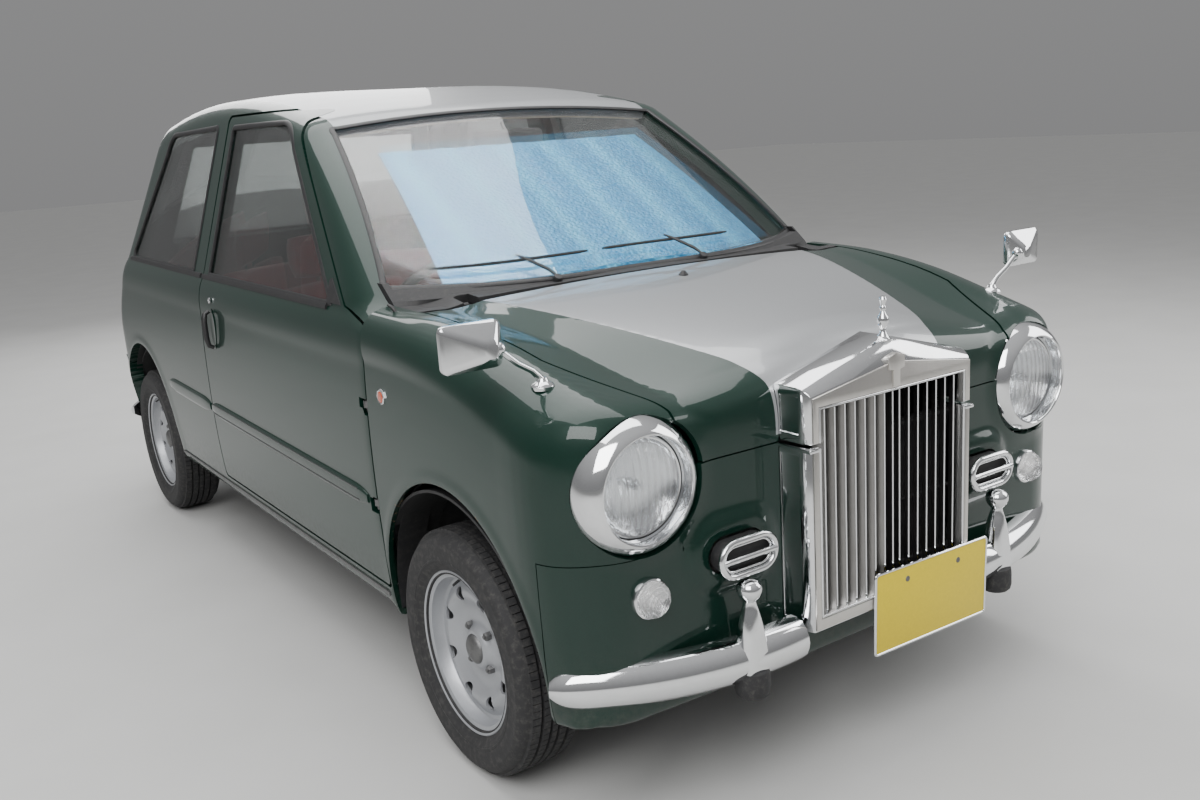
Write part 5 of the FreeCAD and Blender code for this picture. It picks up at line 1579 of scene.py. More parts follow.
@dataclass
class Lamps:
    """Headlamps in deep bezels, ringed turn lamps, side repeaters and the oval inlets."""

    kit: Finishes
    seat_y: float = -1494.0

    def headlamps(self) -> None:
        """Builds the bezels, rims, reflectors and lenses."""
        kit, at = self.kit, (LAMP_HALF, self.seat_y, LAMP_Z)
        shapes = {
            "headlamp_bezel_rings": (kit.chrome, [
                (122, 0), (123, 12), (121.5, 25), (117.5, 36), (111, 46), (104, 53.5), (99, 57.5), (96, 59),
                (93.5, 58), (92, 55), (91, 44), (90, 30), (89.5, 0), (122, 0)]),
            "headlamp_buckets": (kit.black, [
                (89.4, 30), (86, 30), (85, 8), (0, 4), (0, 0), (89.4, 0), (89.4, 30)]),
            "headlamp_rims": (kit.chrome, [
                (89, 24), (89, 30), (86.5, 32.5), (83.5, 31.5), (82.5, 28), (84, 24), (89, 24)]),
            "headlamp_reflectors": (kit.chrome, [
                (84, 27), (80, 20), (70, 13.5), (55, 9.5), (38, 7.5), (20, 6.8), (0, 6.6), (0, 4.4),
                (20, 4.6), (38, 5.3), (55, 7.3), (70, 11.3), (80, 17), (85, 24), (84, 27)]),
            "headlamp_bulbs": (kit.chrome, [
                (0, 30), (6, 28), (8, 23), (7, 18), (11, 10), (11, 6.7), (0, 6.7)]),
            "headlamp_glass": (kit.lens, [
                (85, 28), (82, 34), (70, 40.5), (52, 45.5), (30, 48.8), (0, 50), (0, 46.8), (30, 45.6),
                (52, 42.3), (70, 37.3), (80, 31.4), (85, 28)]),
        }
        nodes = {"headlamp_bezel_rings": ["headlamp_bezels"], "headlamp_glass": ["headlamp_lenses"]}
        for name, (finish, profile) in shapes.items():
            finish_mesh(paired(lathe(profile, at, steps=96)), name, finish, replaced=nodes.get(name, ()))

    def turn_lamps(self) -> None:
        """Builds the clear ringed lamps and the octagonal repeaters."""
        kit, at = self.kit, (TURN_HALF, -1508, TURN_Z)
        edge, height, ring_height, pitch = 32, 27, 1.5, 6.4
        dome = [(r, 30 + height * math.sqrt(max(0.0, 1 - (r / 33.5) ** 2))
                 + ring_height * math.cos(math.tau * r / pitch))
                for r in (edge * (1 - k / 36) for k in range(37))]
        finish_mesh(paired(lathe([(0, 27), (32, 27), *dome], at, steps=72)), "turn_lamp_glass",
                    kit.clear_lens, replaced=["turn_lamps"])
        finish_mesh(paired(lathe([(37, 16), (37.5, 24), (36, 29), (33.5, 30.5), (32.2, 28), (32.2, 16),
                                  (37, 16)], at)), "turn_lamp_rims", kit.chrome)
        finish_mesh(paired(lathe([(32, 26), (22, 22), (8, 19), (0, 19), (0, 16), (32, 16), (32, 26)], at)),
                    "turn_lamp_dishes", kit.chrome)
        hit, _ = onto(front_form, [(300, -868, 749)], (1, 0, 0))
        x = hit[0][0] - 2
        finish_mesh(paired(lathe([(17, 0), (17, 5), (15, 6.5), (13, 6), (13, 0), (17, 0)], (x, -868, 749),
                                 (1, 0, 0), 8)), "repeater_rims", kit.chrome)
        finish_mesh(paired(lathe([(0, 0), (13.6, 0), (13.6, 5), (11, 7), (0, 8)], (x, -868, 749), (1, 0, 0),
                                 8)), "repeater_lenses", kit.amber)

    def inlets(self) -> None:
        """Builds the double oval rings with their bar."""
        kit = self.kit
        rings = [(126, 64, 6.2, -1580), (108, 46, 2.6, -1577)]
        tubes = [tube([(x, y, z) for x, z in oval((INLET_HALF, INLET_Z), w, h)], r, 16, True)
                 for w, h, r, y in rings]
        bar = np.linspace(-61, 61, 15)
        size = [5.6 if abs(b) < 54 else 6.6 for b in bar]
        tubes.append(tube([(INLET_HALF + b, -1583, INLET_Z) for b in bar], size, 16))
        finish_mesh(paired(gathered(*tubes)), "inlet_rings", kit.chrome, replaced=["air_inlets"])
        finish_mesh(paired(Block(Facing.FRONT, -1572, -1546, oval((INLET_HALF, INLET_Z), 122, 60)).soft(2)),
                    "inlet_backs", kit.flat)


@dataclass
class Bumpers:
    """Polished bumper bars with overriders on rubber feet, the plate and the fender mirrors."""

    kit: Finishes
    height: float = 84.0
    depth: float = 46.0

    def bar(self, first: Point2, via: Point2, last: Point2, tips: tuple[int, int]) -> bmesh.types.BMesh:
        """A bowed bar of D section.

        Args:
            first: Where it starts in plan.
            via: A point on the way.
            last: Where it ends.
            tips: How many stations at its start and end are rounded.

        Returns:
            The bar.
        """
        line = np.array([*arc(first, via, last, 44), last])
        ahead = np.gradient(line, axis=0)
        ahead /= np.linalg.norm(ahead, axis=1, keepdims=True)
        out = np.stack([ahead[:, 1], -ahead[:, 0]], 1)
        if out[0][1] * first[1] < 0:
            out = -out
        h, d = self.height / 2, self.depth / 2
        section = [(-d, -h), (-d * 0.4, -h), (d * 0.25, -h * 0.86), (d * 0.68, -h * 0.6),
                   (d * 0.92, -h * 0.28), (d, 0), (d * 0.92, h * 0.28), (d * 0.68, h * 0.6),
                   (d * 0.25, h * 0.86), (-d * 0.4, h), (-d, h), (-d - 2, h * 0.5), (-d - 2, -h * 0.5)]
        rings = []
        for i, (p, n) in enumerate(zip(line, out)):
            size = 1.0
            for near, count in ((i, tips[0]), (len(line) - 1 - i, tips[1])):
                if near < count:
                    size = math.sqrt(1 - (1 - (near + 0.4) / count) ** 2)
            rings.append([(p[0] + n[0] * a * size, p[1] + n[1] * a * size, BUMPER_Z + b * size)
                          for a, b in section])
        return loft(rings)

    def overrider(self, y: float, ahead: int) -> tuple[bmesh.types.BMesh, bmesh.types.BMesh]:
        """An overrider with a ball, a waist and a flat-faced body, and its rubber foot.

        Args:
            y: Where its axis stands.
            ahead: -1 at the front of the car, 1 at its rear.

        Returns:
            The polished part and the rubber.
        """
        at = (347, y, 248)
        profile = [(0, 50), (30, 50), (31.5, 56), (31, 72), (28.5, 98), (25, 124), (20.5, 148), (15.5, 166),
                   (12, 177), (12, 182), (15, 186), (20, 192), (23, 200), (23.2, 206), (21, 213), (15, 219),
                   (7, 221.6), (0, 222)]
        body = lathe(profile, at, (0, 0, 1), 48)
        for vert in body.verts:
            flat = 21.5 * MM
            off = (vert.co.y - y * MM) * ahead
            if off > flat and vert.co.z < 0.425:
                vert.co.y = y * MM + ahead * (flat + (off - flat) * 0.15)
        foot = lathe([(0, 0), (26, 0), (31, 5), (33, 14), (32.5, 40), (31, 50), (0, 50)], at, (0, 0, 1), 40)
        return body, foot

    def build(self) -> None:
        """Builds everything on both ends."""
        kit = self.kit
        front = self.bar((SHELL_HALF + 6, -1590), (480, -1560), (688, -1448), (0, 7))
        finish_mesh(paired(front), "front_bumper_bars", kit.chrome, replaced=["front_bumper"])
        rear = self.bar((0, 1626), (400, 1604), (694, 1488), (0, 7))
        finish_mesh(paired(rear), "rear_bumper_bar", kit.chrome, replaced=["rear_bumper"])
        for end, y, ahead in (("front", -1588, -1), ("rear", 1614, 1)):
            body, foot = self.overrider(y, ahead)
            finish_mesh(paired(body), f"{end}_overriders", kit.chrome)
            finish_mesh(paired(foot), f"{end}_overrider_rubbers", kit.rubber)
        irons = [crate((404, -1572, 302), (436, -1500, 334)), crate((300, 1540, 290), (340, 1606, 330))]
        finish_mesh(gathered(*(paired(iron.soft(3)) for iron in irons)), "bumper_irons", kit.flat)

    def plate(self) -> None:
        """Builds the blank yellow plate, a little tilted, in its bright frame."""
        kit, middle, face_y, back_y = self.kit, (101, 318), -1623.6, -1621.8
        centre = Vector((0.101, -1.622, 0.318))
        lean = Matrix.Rotation(math.radians(1.2), 4, "Y")
        turn = Matrix.Translation(centre) @ lean @ Matrix.Translation(-centre)
        rim = [(x, -1622.2, z) for x, z in round_box(middle, 328, 163, 7)]
        face = Block(Facing.FRONT, face_y, back_y, round_box(middle, 326, 161, 6))
        bracket = Block(Facing.FRONT, back_y, -1620.2, round_box(middle, 300, 150, 6))
        screw = [(0, 0), (6, 0), (5.6, 0.9), (3, 1.5), (1.2, 1.5), (1.0, 0.8), (0, 0.8)]
        screws = (lathe(screw, (middle[0] + s * 75, face_y, 372), steps=20) for s in (-1, 1))
        parts = (("plate_face", kit.yellow, face.soft(0.4)),
                 ("plate_frame", kit.chrome, tube(rim, 3.0, 10, True)),
                 ("plate_bracket", kit.flat, bracket.soft(0.4)),
                 ("plate_screws", kit.steel, gathered(*screws)))
        for name, finish, bm in parts:
            bmesh.ops.transform(bm, matrix=turn, verts=bm.verts[:])
            finish_mesh(bm, name, finish, replaced=["number_plate"] if name == "plate_face" else ())

    def mirrors(self) -> None:
        """Builds the fender mirrors: foot, stalk, ball and faceted head with its glass."""
        kit, y = self.kit, -1372
        hit, _ = onto(front_form, [(608, y, 560)], (0, 0, 1))
        z = hit[0][2]
        stalk = np.array([(608, y, z - 2), (612, y, z + 14), (628, y - 1, z + 30), (656, y - 3, 882),
                          (680, y - 5, 903), (690, y - 6, 911)])
        foot = lathe([(0, -6), (20, -6), (21, 0), (18, 4), (11, 8), (8, 14), (0, 16)], (608, y, z),
                     (0, 0, 1), 28)
        ball = lathe([(13 * math.sin(a), -13 * math.cos(a)) for a in np.linspace(0, math.pi, 13)],
                     (692, y - 6, 913), (0, 0, 1), 24)
        head = ((-20, (711, 914), 26, 26, 10), (-15, (714, 915), 40, 40, 12), (4, (731, 920.5), 104, 74, 12),
                (9, (733, 921), 113, 81, 12), (17, (733, 921), 114, 82, 12), (20, (733, 921), 112, 80, 12))
        rings = [[(a, y + depth, b) for a, b in round_box(*size)] for depth, *size in head]
        finish_mesh(paired(gathered(foot, tube(stalk, (8, 6.5, 5.5, 5.2, 5.2, 5.2), 14), ball, loft(rings))),
                    "fender_mirror_heads", kit.chrome, replaced=["fender_mirrors"])
        glass = Block(Facing.FRONT, y + 19.5, y + 20.8, round_box((733, 921), 104, 72, 9)).soft(0.4)
        finish_mesh(paired(glass), "fender_mirror_glass", kit.mirror)


@dataclass
class Trim:
    """Weatherstrips, mouldings, handles, hinges, wipers and the small fittings of the body."""

    kit: Finishes
    cabin: bpy.types.Object
    flat_pad: tuple = ((-1, -22), (3, -21), (5.5, -15), (6, -13), (6, 13), (5.5, 15), (3, 21), (-1, 22))
    rubber_bead: tuple = ((-3, -7), (1, -7), (2.6, -4), (2.6, 4), (1, 7), (-3, 7))
    belt_bead: tuple = ((-3, -8), (4, -8), (6, -2), (5, 6), (-2, 7))
    fine_line: tuple = ((-1, -1.6), (1.2, -1.6), (1.8, 0), (1.2, 1.6), (-1, 1.6))
    rub_z: float = 500.0
    rub_rise: float = 22.0

    def side_strip(self, name: str, finish: Finish, body: str, points: np.ndarray, section: Sequence[Point2],
                   side: int, around: bool = False, tips: int = 0) -> None:
        """Lays a moulding on a side of the cabin.

        Args:
            name: The piece's name.
            finish: Its finish.
            body: The body it rides on.
            points: Its centreline as (y, z) points.
            section: Its section.
            side: -1 right, 1 left, 0 both.
            around: Whether it is a ring.
            tips: Stations in each rounded tip.
        """
        start = np.array([(300, y, z) for y, z in points])
        shape = strip(cabin_form, start, (1, 0, 0), section, around, tips)
        finish_mesh(on_side(shape, side), name, finish, body)

    def mouldings(self) -> None:
        """Lays the rubbing strips, sill strip and belt strips."""
        kit = self.kit
        low, high = -740, 860
        level, rear = ([(y, self.rub_z + self.rub_rise * part_way(y, low, high)) for y in np.linspace(*ends)]
                       for ends in ((low, 386, 52), (404, 850, 22)))
        line_offset, line_lift, cap_lift = 13, 5.4, 3
        for side, label in SIDES:
            door = f"door_{label}"
            self.side_strip(f"door_rub_strip_{label}", kit.green, door, level, self.flat_pad, side, tips=4)
            for shift in (-line_offset, line_offset):
                lifted = tuple((a + line_lift, b + shift) for a, b in self.fine_line)
                self.side_strip(f"door_line_{label}_{'low' if shift < 0 else 'high'}", kit.steel, door,
                                level[2:-1], lifted, side)
            self.side_strip(f"door_belt_{label}", kit.black, door, along((-566, 905), (384, 905)),
                            self.belt_bead, side)
            self.side_strip(f"door_window_seal_{label}", kit.black, door, dense(door_window()),
                            self.rubber_bead, side, True)
            sail = Block(Facing.SIDE, 1, 760, [(-640, 913), (-560, 913), (-560, 960), (-572, 966)])
            cover = cut(self.cabin, [beside(sail, side)], [])
            for vert, normal in [(v, v.normal.copy()) for v in cover.verts]:
                vert.co += normal * cap_lift * MM
            finish_mesh(thick(cover, 8), f"sail_cap_{label}", kit.black, door)
            self.handle(label, side)
        self.side_strip("quarter_rub_strips", kit.green, "body", rear, self.flat_pad, 0, tips=4)
        self.side_strip("quarter_window_seals", kit.black, "body", dense(quarter_window()), self.rubber_bead,
                        0, True)
        self.side_strip("quarter_belts", kit.black, "body", along((402, 905), (480, 905), (1240, 908)),
                        self.belt_bead, 0)
        self.side_strip("sill_strips", kit.steel, "body", along((-770, 281), (860, 281)),
                        ((-1, -4), (3, -4), (4, 0), (3, 4), (-1, 4)), 0)
        seals = (("windscreen_seal", windscreen_outline(), (0, -1, 0), "body", 100),
                 ("tailgate_window_seal", rear_window(), (0, 1, 0), "tailgate", 700))
        for name, outline, way, body, y in seals:
            start = np.array([(x, y, z) for x, z in dense(outline)])
            finish_mesh(strip(cabin_form, start, way, self.rubber_bead, True), name, kit.black, body)

    def handle(self, label: str, side: int) -> None:
        """Builds a door's upright handle in its cup."""
        x = WAIST[0] + 1
        grip = tube([(x - 4, 273, 712), (x + 8, 273, 718), (x + 12.5, 273, 738), (x + 13, 273, 764),
                     (x + 12.5, 273, 790), (x + 8, 273, 810), (x - 4, 273, 816)], (6, 7, 8, 8, 8, 7, 6), 14)
        hit, out = onto(cabin_form, [(300, 273, 764)], (1, 0, 0))
        cup = lathe([(0, -1), (30, -1), (31, 1.5), (27, 2.2), (22, 1.2), (0, 1.2)], tuple(hit[0]),
                    tuple(out[0]), 40)
        lock = lathe([(0, 0), (8, 0), (8, 3), (6, 4.5), (2, 4.5), (1.6, 3), (0, 3)],
                     (hit[0][0] - 1, 273, 846), tuple(out[0]), 24)
        bmesh.ops.scale(cup, vec=(1, 0.72, 1.9), verts=cup.verts[:],
                        space=Matrix.Translation(-Vector(hit[0]) * MM))
        shapes = {"handle_grip": (self.kit.black, grip), "handle_cup": (self.kit.green, cup),
                  "door_lock": (self.kit.chrome, lock)}
        for name, (finish, shape) in shapes.items():
            finish_mesh(on_side(shape, side), f"{name}_{label}", finish, f"door_{label}",
                        [f"door_handle_{label}"] if name == "handle_grip" else ())

    def hinges(self) -> None:
        """Builds the door and tailgate hinges."""
        kit, x, y = self.kit, 679, -769
        for side, label in SIDES:
            leaves, eyes = [], []
            for z in HINGE_Z:
                leaves += [crate((646, y - 44, z), (655, y + 8, z + 8)).soft(1.5),
                           crate((646, y - 4, z), (x + 4, y + 4, z + 8)).soft(1.5),
                           lathe([(0, 0), (4, 0), (4, 26), (3, 27), (0, 27)], (x, y, z), (0, 0, 1), 20)]
                eyes += [lathe([(4.3, 9), (9, 9), (9, 24), (4.3, 24), (4.3, 9)], (x, y, z), (0, 0, 1), 24)]
            for name, parts, body in (("leaves", leaves, "body"), ("eyes", eyes, f"door_{label}")):
                finish_mesh(on_side(gathered(*parts), side), f"door_hinge_{name}_{label}", kit.steel, body)
        pin_y, pin_z, ear = TAIL_SPLIT_Y + GAP / 2, 1366, 288
        across = (1, 0, 0)
        pivot = lathe([(0, 0), (7, 0), (7, 6), (4, 6.5), (4, 21), (0, 22)], (ear, pin_y, pin_z), across, 24)
        ears = gathered(pivot, crate((ear, pin_y - 40, pin_z - 22), (ear + 6, pin_y - 4, pin_z)).soft(1.5))
        eye = lathe([(4.3, 0), (7.5, 0), (7.5, 10), (4.3, 10), (4.3, 0)], (ear + 10, pin_y, pin_z), across,
                    24)
        tongue = crate((ear + 10, pin_y + 4, pin_z - 32), (ear + 20, pin_y + 34, pin_z)).soft(1.5)
        arms = gathered(eye, tongue)
        finish_mesh(paired(ears), "tailgate_hinge_ears", kit.roof)
        finish_mesh(paired(arms), "tailgate_hinge_arms", kit.roof, "tailgate")
        eye = lathe([(4.3, 0), (9, 0), (9, 12), (4.3, 12), (4.3, 0)], (474, -872, 906), across, 24)
        arm = gathered(eye, crate((476, -936, 898), (484, -880, 910)).soft(1))
        finish_mesh(paired(arm), "bonnet_hinge_arms", kit.flat, "bonnet")
        pin = lathe([(0, 0), (4, 0), (4, 40), (0, 40)], (460, -872, 906), across, 20)
        finish_mesh(paired(pin), "bonnet_hinge_pins", kit.steel)

    def fittings(self) -> None:
        """Builds the wipers, washer nozzle, aerial base and inside mirror."""
        kit = self.kit
        arms, blades, hubs = [], [], []
        for x in (-250, 170):
            bent = along((x, 0, 934), (x - 8, 0, 950), (x - 40, 0, 974), (x - 58, 0, 985), step=12)
            level = along((x - 248, 0, 976), (x + 128, 0, 976), step=20)
            for points, out, radius, store in ((bent, 9, 4.0, arms), (level, 5.5, 3.6, blades)):
                hit, normal = onto(cabin_form, np.array(points) + (0, 100, 0), (0, -1, 0))
                sizes = [radius * (0.55 if i in (0, len(hit) - 1) else 1.0) for i in range(len(hit))]
                store.append(tube(hit + normal * out, sizes, 10))
            hit, normal = onto(cabin_form, [(x, 100, 934)], (0, -1, 0))
            hubs.append(lathe([(0, 0), (11, 0), (11, 9), (9, 13), (0, 14)], tuple(hit[0] - normal[0] * 2),
                              tuple(normal[0]), 24))
        finish_mesh(gathered(*arms, *hubs), "wiper_arms", kit.black, replaced=["wipers"])
        finish_mesh(gathered(*blades), "wiper_blades", kit.rubber)
        hit, normal = onto(front_form, [(0, -1010, 560)], (0, 0, 1))
        nozzle = lathe([(0, -2), (11, -2), (11, 2), (8, 5), (5, 9), (0, 10)], tuple(hit[0]),
                       tuple(normal[0]), 24)
        finish_mesh(nozzle, "washer_nozzle", kit.black, "bonnet")
        foot = lathe([(0, -8), (13, -8), (13, 3), (9, 7), (7, 15), (4, 20), (0, 21)], (-630, -851, 896),
                     (0, 0, 1), 24)
        neck = tube([(-630, -851, 914), (-634, -846, 924), (-640, -838, 930)], (4, 4, 3), 12)
        finish_mesh(gathered(foot, neck), "aerial_base", kit.black)
        stem = tube([(0, -262, 1282), (0, -275, 1262), (0, -282, 1248)], 6, 12)
        sizes = ((-300, 180, 36), (-294, 212, 50), (-280, 218, 54), (-276, 216, 52))
        housing = loft([[(x, y, z) for x, z in round_box((0, 1236), w, h, 14)] for y, w, h in sizes])
        finish_mesh(gathered(stem, housing), "inside_mirror", kit.black)
        finish_mesh(Block(Facing.FRONT, -275.8, -274.6, round_box((0, 1236), 208, 44, 12)).soft(0.3),
                    "inside_mirror_glass", kit.mirror)


@dataclass
class Wheels:
    """Steel wheels with round vents, nuts and centre caps, and treaded tyres."""

    kit: Finishes
    rim: tuple = ((171, -58), (171, -53), (159, -51), (157, -22), (139, -15), (139, 15), (157, 22),
                  (159, 51), (171, 53), (171.5, 57), (168, 60), (165, 58.5), (162, 54), (153, 50), (150, 30),
                  (147, 25), (140, 23), (132, 26), (124, 31.5), (116, 34.5), (108, 33.5), (98, 27),
                  (88, 19.5), (78, 15.5), (68, 14), (56, 15), (48, 18.5), (42, 26), (38, 30.5), (34, 32),
                  (21, 32), (20.2, 30), (20.2, 8), (56, 8), (68, 8.5), (80, 11), (92, 18), (104, 27),
                  (114, 29.5), (124, 25), (134, 19), (139, 17), (139.5, -10), (149, -22), (151, -49),
                  (163, -56), (166, -58), (171, -58))

    def tyre(self, x: float, y: float, side: int) -> bmesh.types.BMesh:
        """A tyre with raised blocks between its grooves."""
        base, groove = TYRE_RADIUS - 4, TYRE_RADIUS - 8.5
        ribs = ((-52, -33), (-28, -11), (-6.5, 6.5), (11, 28), (33, 52))
        tread = []
        for low, high in ribs:
            drop = 1.5 if abs(low + high) > 60 else 0.0
            tread += [(groove, low - 0.6), (base - (drop if low < -40 else 0), low),
                      (base - (drop if high > 40 else 0), high), (groove, high + 0.6)]
        side_wall = ((160, 52), (161, 57), (172, 59), (182, 66), (186, 69.2), (190, 70.0), (191, 71.2),
                     (195, 71.5), (196, 70.9), (208, 72.3), (222, 71.8), (224, 72.3), (229, 71.6),
                     (238, 66.5), (243, 60), (244.5, 54.5))
        profile = [(r, -a) for r, a in side_wall] + tread + list(reversed(side_wall))
        profile += [(164, 42), (206, 62), (236, 52), (236, -52), (206, -62), (164, -42), profile[0]]
        bm = lathe(profile, (x, y, HUB_Z), (side, 0, 0), 100)
        centre = Vector((x, y, HUB_Z)) * MM
        blocks = []
        for face in bm.faces:
            away = face.calc_center_median() - centre
            if math.hypot(away.y, away.z) > (base - 1.6) * MM and abs(face.normal.x) < 0.35 and all(
                    math.hypot(v.co.y - centre.y, v.co.z - centre.z) > (base - 2.5) * MM for v in face.verts):
                blocks.append(face)
        bmesh.ops.inset_individual(bm, faces=blocks, thickness=1.3 * MM, depth=3.9 * MM)
        return bm

    def build(self) -> None:
        """Builds the four wheels."""
        kit = self.kit
        for end, y in (("front", FRONT_AXLE_Y), ("rear", REAR_AXLE_Y)):
            for side, label in SIDES:
                x, body = side * HALF_TRACK, f"wheel_{end}_{label}"
                vents = [drum((y + 114 * math.cos(a), HUB_Z + 114 * math.sin(a)), 14.5,
                              *sorted((x + side * 4, x + side * 60)), Facing.SIDE, 24)
                         for a in (math.tau * (k + 0.5) / 8 for k in range(8))]
                disc = carved(lathe(self.rim, (x, y, HUB_Z), (side, 0, 0), 96), *vents)
                finish_mesh(disc, f"steel_wheel_{end}_{label}", kit.wheel, body, [f"rim_{end}_{label}"])
                nuts = [lathe([(0, 12), (9.5, 12), (9.5, 24), (7.5, 27), (5, 27), (4.5, 30), (0, 30)],
                              (x, y + 51 * math.cos(a), HUB_Z + 51 * math.sin(a)), (side, 0, 0), 6)
                        for a in (math.tau * (k + 0.5) / 4 for k in range(4))]
                nuts.append(lathe([(0, 20), (31, 20), (32, 30), (30, 35), (24, 40), (10, 43), (0, 43.5)],
                                  (x, y, HUB_Z), (side, 0, 0), 40))
                finish_mesh(gathered(*nuts), f"wheel_nuts_{end}_{label}", kit.steel, body)
                valve = tube([(x + side * 40, y + 20, HUB_Z + 146), (x + side * 58, y + 19, HUB_Z + 138)],
                             (3.2, 2.4), 10)
                finish_mesh(valve, f"tyre_valve_{end}_{label}", kit.black, body)
                finish_mesh(self.tyre(x, y, side), f"treaded_tyre_{end}_{label}", kit.rubber, body,
                            [f"tyre_{end}_{label}"])


@dataclass
class Cabin:
    """What shows through the glass: seats, dashboard, steering wheel, visors and the windscreen shade."""

    kit: Finishes

    def pad(self, size: Point3, place: Matrix, seams: Sequence[float] = (), crown: float = 0.16,
            cuts: int = 22) -> bmesh.types.BMesh:
        """A crowned cushion whose sides pull in between its corners.

        Args:
            size: Its full width, length and thickness in millimetres.
            place: Where it goes, in metres.
            seams: Where sewn channels run across it, from -1 to 1.
            crown: How much its faces swell.
            cuts: Cuts along its edges.

        Returns:
            The cushion.
        """
        bm = bmesh.new()
        bmesh.ops.create_cube(bm, size=2.0)
        bmesh.ops.subdivide_edges(bm, edges=bm.edges[:], cuts=cuts, use_grid_fill=True)
        round_off, seam_width, seam_depth = 0.34, 0.022, 0.14
        piping_at, piping_width, piping_depth = 0.93, 0.03, 0.04
        for vert in bm.verts:
            x, y, z = vert.co
            rx, ry, rz = (c * math.sqrt(1 - round_off * (a * a + b * b) / 2
                                        + round_off * round_off * a * a * b * b / 3)
                          for c, a, b in ((x, y, z), (y, z, x), (z, x, y)))
            swell = 1 + crown * (1 - x * x) * (1 - y * y)
            channel = sum(math.exp(-((x - s) / seam_width) ** 2) for s in seams)
            piping = sum(math.exp(-(((abs(c) - piping_at) / piping_width) ** 2)) for c in (x, y))
            rz = rz * swell * (1 - seam_depth * channel - piping_depth * piping)
            vert.co = (rx * size[0] / 2 * MM, ry * size[1] / 2 * MM, rz * size[2] / 2 * MM)
        bmesh.ops.transform(bm, matrix=place, verts=bm.verts[:])
        bmesh.ops.recalc_face_normals(bm, faces=bm.faces[:])
        return bm

    def cushion(self, name: str, finish: Finish, size: Point3, centre: Point3, lean: float,
                seams: Sequence[float], replaced: Sequence[str] = ()) -> None:
        """Places one padded piece, leaning about the X axis by an angle in degrees."""
        place = Matrix.Translation(Vector(centre) * MM) @ Matrix.Rotation(math.radians(lean), 4, "X")
        made = finish_mesh(self.pad(size, place, seams), name, finish, replaced=replaced, sharp=60)

    def seats(self) -> None:
        """Builds the front seats and the rear bench."""
        kit = self.kit
        for side, label in SIDES:
            x, first = side * 300, side < 0
            self.cushion(f"seat_cushion_{label}", kit.red_cloth, (452, 430, 128), (x, -60, 428), 4,
                         (-0.6, 0.6), ["front_seats"] if first else ())
            self.cushion(f"seat_back_{label}", kit.red_cloth, (440, 440, 112), (x, 216, 648), 72, (-0.6, 0.6))
            self.cushion(f"head_rest_{label}", kit.red_cloth, (250, 130, 84), (x, 318, 930), 78, ())
            posts = [tube([(x + s, 290, 830), (x + s, 318, 920)], 6, 12) for s in (-50, 50)]
            base = crate((x - 190, -200, 256), (x + 190, 130, 372)).soft(12)
            finish_mesh(gathered(base, *posts), f"seat_base_{label}", kit.black)
        self.cushion("rear_seat_cushion", kit.red_cloth, (900, 430, 120), (0, 750, 462), 4, (-0.34, 0.34),
                     ["rear_seat"])
        self.cushion("rear_seat_back", kit.red_cloth, (900, 390, 110), (0, 1000, 660), 74, (-0.34, 0.34))
        finish_mesh(crate((-440, 560, 250), (440, 745, 410)).soft(10), "rear_seat_riser", kit.black)

    def visors(self) -> None:
        """Builds the sun visors, padded boards under the roof."""
        halves = []
        for side in (-1, 1):
            rings = []
            for x in np.linspace(64, 386, 15):
                near = min(x - 64, 386 - x) / 18
                thickness = 11 * (min(1.0, 0.35 + near))
                hit, out = onto(cabin_form, [(x, y, 1100) for y in np.linspace(-232, -126, 7)], (0, 0, 1))
                top, low = hit - out * 31.5, hit - out * (31.5 + thickness)
                rings.append([(side * a, b, c) for a, b, c in [*top, *low[::-1]]])
            halves.append(loft(rings))
        made = finish_mesh(gathered(*halves), "sun_visor_pads", self.kit.beige, replaced=["sun_visors"],
                           sharp=60)

    def shade(self) -> None:
        """Builds the pleated foil shade that leans behind the windscreen."""
        count, rows, half, taper, low, rise = 84, 34, 500, 0.205, 886, 372
        behind, fold_depth, pleats, mean_width = 35.4, 1.6, 7, 0.898
        bm = bmesh.new()
        starts = [(x * (1 - taper * v), 300, low + rise * v)
                  for v in np.linspace(0, 1, rows + 1) for x in np.linspace(-half, half, count + 1)]
        hit, out = onto(cabin_form, starts, (0, -1, 0))
        across = np.tile(np.linspace(-half, half, count + 1), rows + 1)
        fold = fold_depth * np.abs(np.sin(across / (2 * half) * math.pi * pleats))
        placed = hit - out * (behind + fold)[:, None]
        grid = [bm.verts.new(p * MM) for p in placed]
        for r in range(rows):
            for c in range(count):
                i = r * (count + 1) + c
                bm.faces.new((grid[i], grid[i + 1], grid[i + count + 2], grid[i + count + 1]))
        area = sum(f.calc_area() for f in bm.faces)
        bmesh.ops.recalc_face_normals(bm, faces=bm.faces[:])
        made = finish_mesh(thick(bm, 1.5), "windscreen_foil", self.kit.foil, replaced=["windscreen_shade"])
        length = area / mean_width

